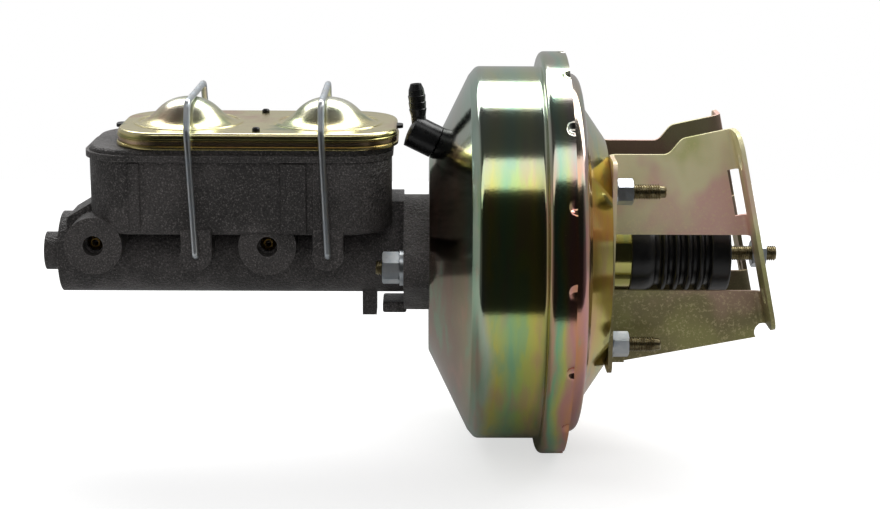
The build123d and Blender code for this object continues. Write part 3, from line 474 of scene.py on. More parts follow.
def build_palette() -> dict[Slot, bpy.types.Material]:
    """Build the shared effects and then the material of each slot."""
    effects = Effects()
    finishes: dict[Slot, Finish] = {
        Slot.CAST_IRON: CastIron(
            "cast_iron", srgb(70, 67, 66), srgb(54, 52, 51), 0.42, 0.35, cloud_scale=30.0,
            grain=0.0014, grain_scale=520.0, grain_fine=1300.0, wear_and_highlight=0.5,
            wear_and_highlight_colour=srgb(140, 136, 134), grain_glint=srgb(150, 144, 142)),
        Slot.SHELL: ShellZinc(
            "shell_zinc", srgb(220, 210, 140), srgb(220, 210, 140), 0.12, 1.0, grain=0.00002,
            grain_scale=500.0, stops=SHELL_STOPS, blush=srgb(212, 160, 142), blush_share=0.45,
            cool=srgb(140, 196, 160), painted_sky_reflection=srgb(196, 214, 206)),
        Slot.COVER: CoverZinc(
            "cover_zinc", srgb(240, 234, 190), srgb(240, 234, 190), 0.24, 1.0, grain=0.00003,
            grain_scale=600.0, low=72.5, high=98.0, rim=COVER_STOPS, teal=srgb(160, 178, 140),
            pink=srgb(214, 178, 156)),
        Slot.BRACKET: PlateZinc(
            "bracket_zinc", srgb(128, 120, 84), srgb(234, 226, 184), 0.42, 0.5, grain=0.00012,
            grain_scale=900.0, pink=srgb(226, 172, 172), green=srgb(190, 196, 112),
            # inside is the colour of the painted shade on the brackets' inner faces.
            speckle=srgb(236, 220, 170), inside=srgb(58, 50, 26)),
        Slot.BRIGHT: Finish(
            "bright_zinc", srgb(216, 220, 222), srgb(196, 204, 210), 0.36, 1.0,
            cloud_scale=90.0, grain=0.00002),
        Slot.THREAD: Finish(
            "thread_zinc", srgb(168, 158, 126), srgb(130, 118, 88), 0.36, 1.0,
            cloud_scale=260.0, grain=0.00003),
        Slot.STEEL: Finish(
            "plain_steel", srgb(176, 176, 178), srgb(160, 160, 164), 0.3, 1.0,
            cloud_scale=120.0, grain=0.00003),
        Slot.SPRING: Finish(
            "spring_wire", srgb(120, 120, 124), srgb(100, 100, 104), 0.35, 1.0,
            cloud_scale=200.0, grain=0.00003),
        Slot.ALUMINIUM: Finish(
            "aluminium", srgb(200, 202, 204), srgb(188, 190, 194), 0.28, 1.0,
            cloud_scale=90.0, grain=0.00002),
        Slot.BRASS: Finish(
            "brass", srgb(206, 170, 96), srgb(186, 146, 78), 0.3, 1.0, cloud_scale=300.0,
            grain=0.00003),
        Slot.RUBBER: Finish(
            "black_rubber", srgb(9, 9, 10), srgb(15, 15, 16), 0.34, 0.0, cloud_scale=70.0,
            grain=0.00006, grain_scale=1500.0),
        Slot.PLASTIC: Finish(
            "black_plastic", srgb(14, 14, 15), srgb(20, 20, 21), 0.28, 0.0, cloud_scale=120.0,
            grain=0.00005, grain_scale=800.0),
        Slot.VALVE: Finish(
            "grey_plastic", srgb(120, 120, 118), srgb(104, 104, 102), 0.5, 0.0,
            cloud_scale=90.0, grain=0.00004),
        Slot.FELT: Finish(
            "felt", srgb(150, 146, 136), srgb(128, 124, 114), 0.9, 0.0, cloud_scale=400.0,
            grain=0.0003, grain_scale=2000.0),
    }
    return {slot: finish.build(effects) for slot, finish in finishes.items()}


# Meshes

def finish_mesh(name: str, shape: Shape, material: bpy.types.Material,
                smooth_angle: float = 35.0) -> bpy.types.Object:
    """Turn a bmesh into an object with its own material.

    Args:
        name: the piece's name.
        shape: the mesh, which is freed.
        material: its finish.
        smooth_angle: edges sharper than this many degrees stay sharp.

    Returns:
        The new object, linked to the scene.
    """
    bmesh.ops.recalc_face_normals(shape, faces=shape.faces[:])
    mesh = bpy.data.meshes.new(name)
    shape.to_mesh(mesh)
    shape.free()
    mesh.materials.append(material)
    mesh.shade_smooth()
    mesh.set_sharp_from_angle(angle=math.radians(smooth_angle))
    piece = bpy.data.objects.new(name, mesh)
    bpy.context.scene.collection.objects.link(piece)
    return piece


def turned(profile: Line, steps: int = 96, centre: Point = (0.0, 0.0),
           closed: bool = False) -> Shape:
    """Spin a profile of (station, radius) points, in millimetres, about a line along X.

    Args:
        profile: the points in order.
        steps: faces round the axis.
        centre: the axis line's y and z.
        closed: whether the last point joins the first.

    Returns:
        The spun shape.
    """
    shape = bmesh.new()
    verts = [shape.verts.new(spot(x, centre[0], centre[1] + r)) for x, r in profile]
    edges = [shape.edges.new(pair) for pair in zip(verts, verts[1:])]
    if closed:
        edges.append(shape.edges.new((verts[-1], verts[0])))
    bmesh.ops.spin(shape, geom=verts + edges, cent=spot(0, *centre), axis=(1, 0, 0),
                   angle=2 * math.pi, steps=steps, use_merge=True)
    bmesh.ops.remove_doubles(shape, verts=shape.verts[:], dist=1e-6)
    return shape


def disc(start: float, end: float, radius: float, centre: Point = (0.0, 0.0),
         steps: int = 32) -> Shape:
    """A plain round bar between two stations."""
    return turned([(start, POLE_R), (start, radius), (end, radius), (end, POLE_R)], steps, centre)


def eased(points: Line, rounds: int = 3) -> list[Point]:
    """A profile with its corners cut again and again until it is smooth, its ends kept.

    Args:
        points: the profile's corners.
        rounds: how often each corner is cut.

    Returns:
        The smoothed points.
    """
    line = list(points)
    for _ in range(rounds):
        cut = [line[0]]
        for (x0, r0), (x1, r1) in zip(line, line[1:]):
            cut.append((0.75 * x0 + 0.25 * x1, 0.75 * r0 + 0.25 * r1))
            cut.append((0.25 * x0 + 0.75 * x1, 0.25 * r0 + 0.75 * r1))
        cut.append(line[-1])
        line = cut
    return line


def rounded(points: Line, radii: Sequence[float], steps: int = 6) -> list[Point]:
    """A line with each of its inner corners replaced by an arc.

    Args:
        points: the line's corners.
        radii: the radius at each inner corner.
        steps: segments of each arc.

    Returns:
        The rounded line.
    """
    line = [tuple(points[0])]
    for before, corner, after, radius in zip(points, points[1:], points[2:], radii):
        back = (Vector(before) - Vector(corner)).normalized()
        onward = (Vector(after) - Vector(corner)).normalized()
        half = back.angle(onward) / 2
        centre = Vector(corner) + (back + onward).normalized() * radius / math.sin(half)
        reach = radius / math.tan(half)
        first = Vector(corner) + back * reach - centre
        last = Vector(corner) + onward * reach - centre
        for step in range(steps + 1):
            swing = first.slerp(last, step / steps)
            line.append(tuple(centre + swing.normalized() * radius))
    line.append(tuple(points[-1]))
    return line


def inset_line(line: Line, wall: float) -> list[Point]:
    """The line that runs a wall's thickness to the right of another."""
    moved = []
    for index, point in enumerate(line):
        ahead = Vector(line[min(index + 1, len(line) - 1)]) - Vector(line[max(index - 1, 0)])
        side = Vector((ahead.y, -ahead.x)).normalized()
        moved.append(tuple(Vector(point) + side * wall))
    return moved


def subdivided(line: Line, start: float, end: float, step: float) -> list[Point]:
    """A line with extra points where its station lies between two values."""
    points = [line[0]]
    for (x0, r0), (x1, r1) in zip(line, line[1:]):
        inside = max(x0, x1) > start and min(x0, x1) < end
        count = max(1, math.ceil(math.dist((x0, r0), (x1, r1)) / step)) if inside else 1
        for part in range(1, count + 1):
            share = part / count
            points.append((x0 + (x1 - x0) * share, r0 + (r1 - r0) * share))
    return points


def slab(low: Sequence[float], high: Sequence[float], bevel: float,
         segments: int = 3) -> Shape:
    """A block between two corners, in millimetres, with rounded edges."""
    shape = bmesh.new()
    bmesh.ops.create_cube(shape, size=1.0)
    size = [(b - a) * MM for a, b in zip(low, high)]
    bmesh.ops.scale(shape, verts=shape.verts[:], vec=size)
    middle = spot(*[(a + b) / 2 for a, b in zip(low, high)])
    bmesh.ops.translate(shape, verts=shape.verts[:], vec=middle)
    bmesh.ops.bevel(shape, geom=shape.edges[:], offset=bevel * MM, segments=segments,
                    profile=0.5, affect="EDGES", material=-1)
    return shape


def swept(path: Line, section: Line, closed: bool = True) -> Shape:
    """A section carried along a level path.

    Args:
        path: the path's (x, y) points, in millimetres.
        section: (outward, z) points of the closed section.
        closed: whether the path joins its start.

    Returns:
        The swept shape.
    """
    shape = bmesh.new()
    count = len(path)
    rings = []
    for index, (x, y) in enumerate(path):
        before = path[index - 1] if closed or index else path[index]
        after = path[(index + 1) % count] if closed or index < count - 1 else path[index]
        ahead = (Vector(after) - Vector(before)).normalized()
        side = Vector((ahead.y, -ahead.x))
        rings.append([shape.verts.new(spot(x + side.x * out, y + side.y * out, z))
                      for out, z in section])
    pairs = list(zip(rings, rings[1:] + rings[:1])) if closed else list(zip(rings, rings[1:]))
    for first, second in pairs:
        for low in range(len(section)):
            high = (low + 1) % len(section)
            shape.faces.new((first[low], first[high], second[high], second[low]))
    if not closed:
        shape.faces.new(rings[0])
        shape.faces.new(rings[-1][::-1])
    return shape


def lifted(section: Line, height: float) -> list[Point]:
    """A section of (outward, z) points raised by a height."""
    return [(out, height + up) for out, up in section]


def lid_path(front: float, rear: float, half: float, corner: float,
             steps: int = 16) -> list[Point]:
    """A rounded rectangle's (x, y) points, anticlockwise from above."""
    path = []
    low, high, side = front + corner, rear - corner, half - corner
    for turn, (x, y) in enumerate([(high, side), (low, side), (low, -side), (high, -side)]):
        for step in range(steps + 1):
            angle = math.radians(90 * (turn + step / steps))
            path.append((x + corner * math.cos(angle), y + corner * math.sin(angle)))
    return path


@dataclass
class ThreadedBar:
    """A round bar with a rolled helical thread over part of its length."""

    start: float
    end: float
    crest: float
    pitch: float = 1.5
    depth: float = 0.75
    steps: int = 28

    def build(self, y: float, z: float) -> Shape:
        """Spin one turn of the thread's outline into a helix, and cut it square at both ends.

        Args:
            y: the bar's place across.
            z: the bar's height.

        Returns:
            The threaded bar.
        """
        turns = math.ceil((self.end - self.start) / self.pitch) + 2
        first = self.start - self.pitch
        root = self.crest - self.depth
        outline = [(0.0, root), (0.12, root), (0.45, self.crest), (0.58, self.crest),
                   (0.9, root), (1.0, root)]
        shape = bmesh.new()
        verts = [shape.verts.new(spot(first + share * self.pitch, y, z + r))
                 for share, r in outline]
        edges = [shape.edges.new(pair) for pair in zip(verts, verts[1:])]
        count = turns * self.steps
        bmesh.ops.spin(shape, geom=verts + edges, cent=spot(0, y, z), axis=(1, 0, 0),
                       dvec=Vector((self.pitch / self.steps * MM, 0, 0)),
                       angle=2 * math.pi * turns, steps=count)
        bmesh.ops.remove_doubles(shape, verts=shape.verts[:], dist=2e-6)
        for station, normal in ((self.start, (-1, 0, 0)), (self.end, (1, 0, 0))):
            geometry = shape.verts[:] + shape.edges[:] + shape.faces[:]
            cut = bmesh.ops.bisect_plane(shape, geom=geometry, plane_co=spot(station, y, z),
                                         plane_no=normal, clear_outer=True)
            rim = [item for item in cut["geom_cut"] if isinstance(item, bmesh.types.BMEdge)]
            bmesh.ops.edgeloop_fill(shape, edges=rim)
        self.ease_tip(shape, y, z)
        return shape

    def ease_tip(self, shape: Shape, y: float, z: float) -> None:
        """Draw the thread's last turn in towards its root, as a chamfer does."""
        centre = spot(0, y, z)
        root = (self.crest - self.depth) * MM
        for vert in shape.verts:
            away = Vector((0, vert.co.y - centre.y, vert.co.z - centre.z))
            limit = root + max(0.0, spot(self.end, 0, 0).x - vert.co.x)
            if away.length > limit:
                away *= limit / away.length
                vert.co = Vector((vert.co.x, centre.y + away.y, centre.z + away.z))


def merged(shapes: Sequence[Shape]) -> Shape:
    """Several shapes gathered into the first one."""
    whole = shapes[0]
    for extra in shapes[1:]:
        mesh = bpy.data.meshes.new("part")
        extra.to_mesh(mesh)
        whole.from_mesh(mesh)
        bpy.data.meshes.remove(mesh)
        extra.free()
    return whole


# Sub-assemblies

@dataclass
class Assembly:
    """What the sub-assemblies share: the finishes, dressing CAD nodes and adding pieces."""

    palette: dict[Slot, bpy.types.Material]

    def dress(self, finishes: dict[Slot, Sequence[str]]) -> None:
        """Give CAD nodes their finishes.

        Args:
            finishes: the nodes of each slot.
        """
        for slot, names in finishes.items():
            for name in names:
                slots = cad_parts[name].data.materials
                slots.clear()
                slots.append(self.palette[slot])
                LOG.info("dressed %s", name)

    def add(self, name: str, shape: Shape, slot: Slot, body: str,
            replaces: Sequence[str] = (), smooth_angle: float = 35.0) -> bpy.types.Object:
        """Make a piece from a shape and let it ride on a body.

        Args:
            name: the piece's name.
            shape: its mesh.
            slot: its finish.
            body: the CAD body that it moves with.
            replaces: CAD nodes that it stands for.
            smooth_angle: edges sharper than this many degrees stay sharp.

        Returns:
            The new piece.
        """
        piece = finish_mesh(name, shape, self.palette[slot], smooth_angle)
        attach(piece, body)
        if replaces:
            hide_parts(*replaces)
        LOG.info("built %s", name)
        return piece


@dataclass
class CylinderSizes:
    """Sizes of the master cylinder's dressed parts, in millimetres."""

    side_y: float = 44.6
    rim_proud: float = 2.2
    corner_r: float = 27.0
    lid_front: float = -189.0
    lid_rear: float = -22.2
    lid_top: float = 83.1
    skirt: float = 10.2
    dome_xs: Point = (-150.0, -63.0)
    ring_r: float = 32.6
    ring_steps: int = 96
    foot_bead: Line = ((0.05, 0.0), (0.75, 0.3), (0.9, 1.1), (0.75, 1.9), (0.05, 2.3), (-0.4, 1.1))
    skirt_line: Line = ((0.02, 5.2), (0.4, 5.6), (0.4, 6.4), (0.02, 6.8), (-0.4, 6.0))
    ring_bead: Line = ((-2.0, -0.2), (2.0, -0.2), (1.6, 0.4), (0.6, 0.75), (-0.6, 0.75),
                       (-1.6, 0.4))
    nub_x: float = -105.0
    nub_y: float = 36.0
    nub_r: float = 2.4
    nub: float = 2.8
    nub_round: float = 0.8
    nub_sunk: float = 0.3
    relief: float = 1.5
    relief_back: float = 4.0
    # Stations, heights, height over the side and rounding of the panel's borders and bail pads.
    pads: Sequence[tuple[Point, Point, float, float]] = (
        ((-182.0, -175.0), (23.5, 65.0), 1.5, 1.3), ((-90.4, -74.3), (21.0, 65.0), 1.5, 1.3),
        ((-151.3, -132.3), (6.0, 24.0), 1.9, 1.2), ((-71.1, -52.1), (6.0, 24.0), 1.9, 1.2))
    pot_front: float = -70.2
    pot_rear: float = -24.5
    pot_low: float = 22.0
    pot_high: float = 65.4
    pot_behind: float = 2.0
    block_low: tuple[float, float, float] = (-29.0, -12.0, -37.0)
    block_high: tuple[float, float, float] = (-14.0, 12.0, -30.0)


class MasterCylinder(Assembly):
    """Iron casting, cover, bails, port seats and the two mounting nuts."""

    sizes = CylinderSizes()

    def build(self) -> None:
        """Dress the cylinder's nodes."""
        self.dress({
            Slot.CAST_IRON: ["master_cylinder_body"],
            Slot.COVER: ["reservoir_cover"],
            Slot.RUBBER: ["cover_gasket", "primary_cups", "secondary_cups"],
            Slot.BRIGHT: ["front_bail", "rear_bail", "cylinder_nuts", "cylinder_washers"],
            Slot.BRASS: ["tube_seats"],
            Slot.ALUMINIUM: ["primary_piston", "secondary_piston"],
            Slot.SPRING: ["primary_spring", "secondary_spring", "piston_snap_ring"],
        })
        self.cover_trim()
        self.casting_relief()

    def cover_trim(self) -> None:
        """The cover's rolled foot, the thin ring about each dome, and the gasket's rubber nubs."""
        s = self.sizes
        path = lid_path(s.lid_front - s.rim_proud, s.lid_rear + s.rim_proud,
                        s.side_y + s.rim_proud, s.corner_r + s.rim_proud)
        foot = s.lid_top - s.skirt
        beads = [swept(path, lifted(section, foot)) for section in (s.foot_bead, s.skirt_line)]
        rings = [self.ring(x) for x in s.dome_xs]
        self.add("cover_beads", merged(beads + rings), Slot.COVER, "housing")
        nubs = [self.nub(y) for y in (-s.nub_y, s.nub_y)]
        self.add("gasket_nubs", merged(nubs), Slot.RUBBER, "housing")

    def ring(self, x: float) -> Shape:
        """A thin raised ring about a dome."""
        s = self.sizes
        turns = [2 * math.pi * step / s.ring_steps for step in range(s.ring_steps)]
        path = [(x + s.ring_r * math.cos(turn), s.ring_r * math.sin(turn)) for turn in turns]
        return swept(path, lifted(s.ring_bead, s.lid_top))

    def nub(self, y: float) -> Shape:
        """A rubber nub with a rounded head, standing on the cover."""
        s = self.sizes
        shape = turned([(0.0, 2 * POLE_R), (0.0, s.nub_r), (s.nub - 1.0, s.nub_r),
                        (s.nub - 0.2, s.nub_r - s.nub_round), (s.nub, 2 * POLE_R)], 24)
        upright = Matrix.Rotation(math.radians(-90), 4, "Y")
        bmesh.ops.transform(shape, matrix=upright, space=Matrix.Translation(-AXIS),
                            verts=shape.verts[:])
        bmesh.ops.translate(shape, verts=shape.verts[:],
                            vec=Vector((s.nub_x, y, s.lid_top - s.nub_sunk)) * MM)
        return shape

    def casting_relief(self) -> None:
        """Raised borders of the side panel, bail pads, rear pot and the block under the flange."""
        s = self.sizes
        parts = [slab((front, -s.side_y - out, low), (rear, -s.side_y + s.relief_back, high), bevel)
                 for (front, rear), (low, high), out, bevel in s.pads]
        parts += [self.rear_pot(), slab(s.block_low, s.block_high, 1.4)]
        self.add("casting_relief", merged(parts), Slot.CAST_IRON, "housing")

    def rear_pot(self) -> Shape:
        """The raised band that runs from the groove round the rear reservoir's corner."""
        s = self.sizes
        section = [(-s.pot_behind, s.pot_low + 0.5), (s.relief - 0.5, s.pot_low),
                   (s.relief, s.pot_low + 1.0), (s.relief, s.pot_high - 0.9),
                   (s.relief - 0.5, s.pot_high), (-s.pot_behind, s.pot_high)]
        turns = [math.radians(angle) for angle in range(0, 91, 5)]
        centre_x = s.pot_rear - s.corner_r
        centre_y = s.corner_r - s.side_y
        arc = [(centre_x + s.corner_r * math.sin(turn), centre_y - s.corner_r * math.cos(turn))
               for turn in turns]
        return swept([(s.pot_front, -s.side_y)] + arc, section, closed=False)


@dataclass
class BoosterSizes:
    """Sizes of the booster's dressed parts, in millimetres."""

    stud_y: float = 42.85
    stud_z: float = 48.0
    stud_r: float = 4.7
    stud_root: float = 108.1
    stud_thread: float = 140.3
    stud_tip: float = 143.5
    dog_r: float = 3.6
    dog_chamfer: float = 0.6
    dog_sunk: float = 0.5
    head_r: float = 5.6
    head: float = 2.4
    front_tip: float = 32.5
    front_head_r: float = 8.0
    front_head_x: float = 4.3
    wall: float = 1.9
    band_r: float = 127.0
    band_end: float = 84.0
    # Corners (station, radius) of the shells' outsides, and the rounding of the inner corners.
    front_line: Line = ((0.0, 24.0), (0.0, 62.0), (2.0, 66.0), (24.5, 112.0), (29.0, 117.5),
                        (68.0, 117.5), (68.0, 127.0), (84.0, 127.0))
    front_rounds: Sequence[float] = (4, 4, 5, 5, 2.2, 3.5)
    front_steps: int = 512
    crimps: int = 16
    crimp_turn: float = 2.5
    crimp_reach: float = 9.0
    crimp_inset: float = 0.6
    ball_r: float = 5.0
    ball_rise: float = 2.5
    rear_line: Line = ((77.4, 124.8), (77.4, 113.5), (92.0, 113.5), (95.2, 94.04),
                       (110.0, 72.54), (110.0, 22.5), (129.0, 22.5))
    rear_rounds: Sequence[float] = (2.5, 6, 4, 2.5, 3)
    rear_steps: int = 256


class Booster(Assembly):
    """Pressed shells, studs, nuts, check valve and the parts inside."""

    sizes = BoosterSizes()

    def build(self) -> None:
        """Press the shells and build the threaded studs."""
        self.front_pressing()
        self.rear_pressing()
        self.dress({
            Slot.BRIGHT: ["rear_nuts", "rear_washers"],
            Slot.PLASTIC: ["check_valve"],
            Slot.RUBBER: ["check_valve_grommet", "front_seal", "hub_seal", "diaphragm", "poppet",
                          "reaction_disc"],
            Slot.STEEL: ["diaphragm_plate", "output_rod", "air_valve_plunger"],
            Slot.SPRING: ["return_spring", "pushrod_spring"],
            Slot.VALVE: ["valve_body"],
            Slot.FELT: ["air_filter"],
        })
        self.rear_studs()
        self.front_studs()

    def front_pressing(self) -> None:
        """The front shell as one smooth pressing, its crimps pressed in by a ball."""
        s = self.sizes
        outer = subdivided(rounded(s.front_line, s.front_rounds), s.band_end - s.crimp_reach,
                           s.band_end, s.crimp_inset)
        profile = outer + inset_line(outer, s.wall)[::-1]
        shape = turned(profile, s.front_steps, closed=True)
        for vert in shape.verts:
            self.press(vert)
        self.add("front_shell_pressing", shape, Slot.SHELL, "housing", ["front_shell"], 40.0)

    def press(self, vert: bmesh.types.BMVert) -> None:
        """Move a point of the band inwards where a crimp's ball touches it."""
        s = self.sizes
        away = vert.co - AXIS
        station = away.x / MM
        radius = math.hypot(away.y, away.z) / MM
        if station < s.band_end - s.crimp_reach or radius < s.band_r - 2 * s.wall:
            return
        pitch = 2 * math.pi / s.crimps
        angle = math.atan2(away.z, -away.y) - math.radians(s.crimp_turn)
        off = (angle + pitch / 2) % pitch - pitch / 2
        along = station - s.band_end + s.crimp_inset
        reach = s.ball_r ** 2 - (off * s.band_r) ** 2 - along ** 2
        depth = math.sqrt(reach) - s.ball_rise if reach > s.ball_rise ** 2 else 0.0
        share = 1 - depth / radius
        vert.co.y = AXIS.y + away.y * share
        vert.co.z = AXIS.z + away.z * share

    def rear_pressing(self) -> None:
        """The rear shell as one smooth pressing."""
        s = self.sizes
        outer = rounded(s.rear_line, s.rear_rounds)
        profile = outer + inset_line(outer, s.wall)[::-1]
        self.add("rear_shell_pressing", turned(profile, s.rear_steps, closed=True), Slot.SHELL,
                 "housing", ["rear_shell"], 40.0)

    def rear_studs(self) -> None:
        """Four threaded studs with plain dog points and heads inside the shell."""
        s = self.sizes
        parts = []
        for y in (-s.stud_y, s.stud_y):
            for z in (-s.stud_z, s.stud_z):
                parts.append(ThreadedBar(s.stud_root, s.stud_thread, s.stud_r).build(y, z))
                parts.append(self.dog(y, z))
                parts.append(disc(s.stud_root - s.head, s.stud_root, s.head_r, (y, z)))
        self.add("rear_stud_threads", merged(parts), Slot.THREAD, "housing", ["rear_studs"])

    def dog(self, y: float, z: float) -> Shape:
        """The plain point at a stud's end."""
        s = self.sizes
        start = s.stud_thread - s.dog_sunk
        return turned([(start, POLE_R), (start, s.dog_r), (s.stud_tip - s.dog_chamfer, s.dog_r),
                       (s.stud_tip, s.dog_r - s.dog_chamfer), (s.stud_tip, POLE_R)], 32, (y, z))

    def front_studs(self) -> None:
        """Two threaded studs that carry the master cylinder."""
        s = self.sizes
        parts = []
        for y in (-s.stud_y, s.stud_y):
            bar = ThreadedBar(-s.wall, s.front_tip, s.stud_r).build(y, 0.0)
            bmesh.ops.scale(bar, verts=bar.verts[:], vec=(-1, 1, 1),
                            space=Matrix.Translation(-AXIS))
            parts.append(bar)
            parts.append(disc(s.wall, s.front_head_x, s.front_head_r, (y, 0.0)))
        self.add("front_stud_threads", merged(parts), Slot.THREAD, "housing", ["front_studs"])


@dataclass
class LinkageSizes:
    """Sizes of the boot and push rod, in millimetres."""

    boot_r: float = 24.0
    valley_r: float = 20.2
    boot_start: float = 126.6
    fold_start: float = 140.1
    fold_pitch: float = 7.6
    folds: int = 5
    boot_end: float = 189.0
    wall: float = 1.6
    cup_round: float = 0.6
    cup_margin: float = 1.2
    valley_half: float = 1.5
    crest_half: float = 1.3
    end_round: float = 4.0
    sleeve_r: float = 22.8
    mouth_r: float = 4.6
    rod_r: float = 4.76
    shank_r: float = 4.3
    rod_tip: float = 220.5
    thread_start: float = 190.9
    rod_pitch: float = 1.3
    rod_depth: float = 0.62
    ball_x: float = 116.0
    ball_r: float = 6.0


class Linkage(Assembly):
    """Bellows boot, push rod, jam nut and the firewall brackets."""

    sizes = LinkageSizes()

    def build(self) -> None:
        """Dress the brackets and build the boot and the threaded rod."""
        self.dress({Slot.BRACKET: ["right_bracket", "left_bracket"], Slot.BRIGHT: ["jam_nut"]})
        self.boot()
        self.push_rod()

    def boot(self) -> None:
        """A bellows of soft folds with a plain cup and a rounded closed end."""
        s = self.sizes
        outer = [(s.boot_start, s.boot_r - s.cup_round), (s.boot_start + s.cup_round, s.boot_r),
                 (s.fold_start - s.cup_margin, s.boot_r)]
        inner = [(s.boot_start, s.sleeve_r), (s.fold_start, s.sleeve_r)]
        for index in range(s.folds):
            valley = s.fold_start + (index + 0.5) * s.fold_pitch
            crest = valley + s.fold_pitch / 2
            outer += [(valley - s.valley_half, s.valley_r), (valley + s.valley_half, s.valley_r),
                      (crest - s.crest_half, s.boot_r), (crest + s.crest_half, s.boot_r)]
            inner += [(valley, s.valley_r - s.wall), (crest, s.boot_r - s.wall)]
        outer += [(s.boot_end - s.end_round, s.boot_r), (s.boot_end, s.boot_r),
                  (s.boot_end, s.boot_r - s.end_round)]
        inner += [(s.boot_end - 2 * s.wall, s.boot_r - s.wall)]
        mouth = [(s.boot_end, s.mouth_r), (s.boot_end - 2 * s.wall, s.mouth_r)]
        profile = eased(outer, 3) + mouth + inner[::-1]
        self.add("bellows_boot", turned(profile, 128, closed=True), Slot.RUBBER, "housing",
                 ["boot"], 50.0)

    def push_rod(self) -> None:
        """The rod: ball, shank and rolled thread."""
        s = self.sizes
        shank = disc(s.ball_x, s.thread_start, s.shank_r, steps=48)
        thread = ThreadedBar(s.thread_start, s.rod_tip, s.rod_r, s.rod_pitch,
                             s.rod_depth).build(0, 0)
        ball = bmesh.new()
        bmesh.ops.create_uvsphere(ball, u_segments=32, v_segments=16, radius=s.ball_r * MM,
                                  matrix=Matrix.Translation(spot(s.ball_x, 0, 0)))
        self.add("push_rod_threaded", merged([shank, thread, ball]), Slot.THREAD, "input_rod",
                 ["input_pushrod"])


# Studio

@dataclass
class Lamp:
    """A soft rectangular lamp that shines at the object."""

    name: str
    place: tuple[float, float, float]
    width: float
    height: float
    radiance: float
    in_gloss: bool = True

    def build(self, target: Vector) -> None:
        """Make the lamp, turned to the target."""
        data = bpy.data.lights.new(self.name, "AREA")
        data.shape = "RECTANGLE"
        data.size = self.width
        data.size_y = self.height
        data.energy = self.radiance * math.pi * self.width * self.height
        lamp = bpy.data.objects.new(self.name, data)
        lamp.location = self.place
        lamp.rotation_euler = (target - Vector(self.place)).to_track_quat("-Z", "Y").to_euler()
        lamp.visible_camera = False
        lamp.visible_glossy = self.in_gloss
        bpy.context.scene.collection.objects.link(lamp)


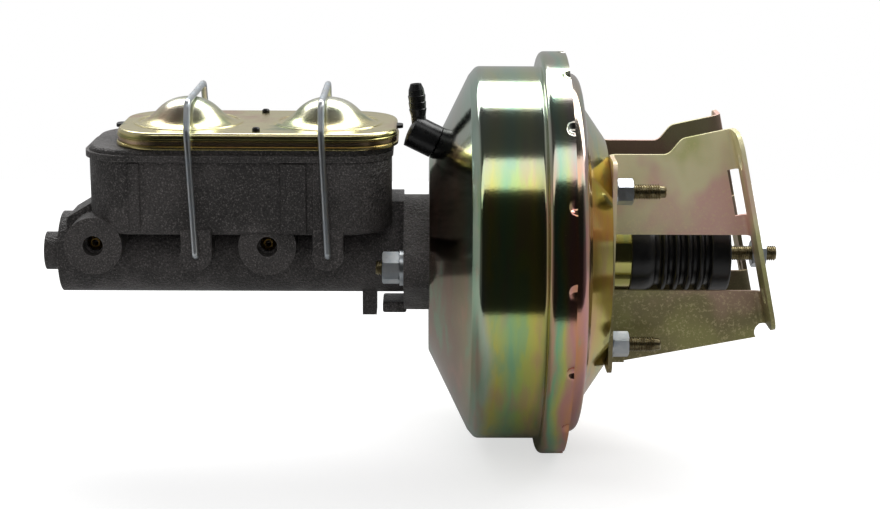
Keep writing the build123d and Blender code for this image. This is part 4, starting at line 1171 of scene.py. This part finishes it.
@dataclass
class Studio:
    """Camera, floor, world and lamps."""

    lens: float = 74.12
    camera_place: tuple[float, float, float] = (-5.4, -1119.9, 265.1)
    camera_right: tuple[float, float, float] = (0.9999, -0.0097, 0.0064)
    camera_back: tuple[float, float, float] = (-0.0109, -0.9727, 0.2318)
    floor_middle: Point = (-0.06, 0.25)
    floor_depth: float = 0.42
    floor_z: float = -152.6
    floor_size: float = 3.0
    floor_tone: float = 0.5
    floor_glow: float = 0.62
    lamps: list[Lamp] = field(default_factory=lambda: [
        Lamp("top_softbox", (0.0, 0.60, 1.05), 2.6, 0.62, 4.6),
        Lamp("front_softbox", (0.0, -0.62, 1.10), 2.6, 0.42, 1.25),
        Lamp("front_fill", (-0.3, -2.2, 0.9), 2.4, 1.6, 0.9, in_gloss=False),
    ])

    def build(self) -> None:
        """Set up everything that isn't part of the object."""
        self.camera()
        self.floor()
        self.world()
        for lamp in self.lamps:
            lamp.build(spot(0, 0, 0))
        bpy.context.scene.view_settings.view_transform = "Standard"

    def camera(self) -> None:
        """The camera at the photograph's place."""
        data = bpy.data.cameras.new("camera")
        data.lens = self.lens
        data.sensor_width = 36.0
        data.clip_end = 50.0
        camera = bpy.data.objects.new("camera", data)
        right = Vector(self.camera_right).normalized()
        back = Vector(self.camera_back).normalized()
        up = back.cross(right).normalized()
        right = up.cross(back)
        turn = Matrix((right, up, back)).transposed().to_4x4()
        camera.matrix_world = Matrix.Translation(spot(*self.camera_place)) @ turn
        bpy.context.scene.collection.objects.link(camera)
        bpy.context.scene.camera = camera

    def floor(self) -> None:
        """A pale floor: white to the camera, softer in reflections, keeping the object's shadow."""
        shape = bmesh.new()
        bmesh.ops.create_grid(shape, x_segments=1, y_segments=1, size=self.floor_size / 2)
        bmesh.ops.scale(shape, verts=shape.verts[:], vec=(1.0, self.floor_depth, 1.0))
        bmesh.ops.translate(shape, verts=shape.verts[:],
                            vec=(*self.floor_middle, self.floor_z * MM))
        material = bpy.data.materials.new("floor")
        graph = emptied(material)
        path = graph.put("LightPath")
        dim = graph.ramp(graph.split(graph.place())[1], -0.05, 0.25, 0.42, 0.2)
        shade = graph.math("MULTIPLY", path.outputs["Is Glossy Ray"],
                           graph.math("SUBTRACT", self.floor_tone, dim))
        pale = graph.math("SUBTRACT", self.floor_tone, shade)
        colour = graph.put("CombineColor", {0: pale, 1: pale, 2: pale})
        matte = graph.put("BsdfDiffuse", {"Color": colour.outputs[0]})
        strength = graph.math("MULTIPLY", path.outputs["Is Camera Ray"], self.floor_glow)
        glow = graph.put("Emission", {"Color": (1, 1, 1, 1), "Strength": strength})
        both = graph.put("AddShader", {0: matte.outputs[0], 1: glow.outputs[0]})
        graph.put("OutputMaterial", {"Surface": both.outputs[0]})
        piece = finish_mesh("floor", shape, material)

    def world(self) -> None:
        """White to the camera, and a plain room with a darker camera side in reflections."""
        world = bpy.data.worlds.new("studio")
        bpy.context.scene.world = world
        graph = emptied(world)
        x, y, _ = graph.split(graph.put("TexCoord").outputs["Generated"])
        back = graph.ramp(y, 0.35, 0.8, 0.05, 0.4)
        sides = graph.ramp(graph.math("ABSOLUTE", x), 0.3, 0.8, 0.0, 0.34)
        front = graph.ramp(y, -0.25, -0.6, 1.0, 0.25)
        room = graph.math("MULTIPLY", graph.math("MAXIMUM", back, sides), front)
        path = graph.put("LightPath")
        shown = graph.math("MAXIMUM", path.outputs["Is Camera Ray"],
                           path.outputs["Is Transmission Ray"])
        plain = graph.math("MULTIPLY", path.outputs["Is Diffuse Ray"], 0.45)
        strength = graph.math("MAXIMUM", graph.math("MAXIMUM", room, shown), plain)
        glow = graph.put("Background", {"Color": (1, 1, 1, 1), "Strength": strength})
        graph.put("OutputWorld", {"Surface": glow.outputs[0]})


def main() -> None:
    """Build the studio and every sub-assembly in order."""
    logging.basicConfig(level=logging.INFO, format="%(message)s")
    palette = build_palette()
    Studio().build()
    MasterCylinder(palette).build()
    Booster(palette).build()
    Linkage(palette).build()


if __name__ == "__main__":
    main()
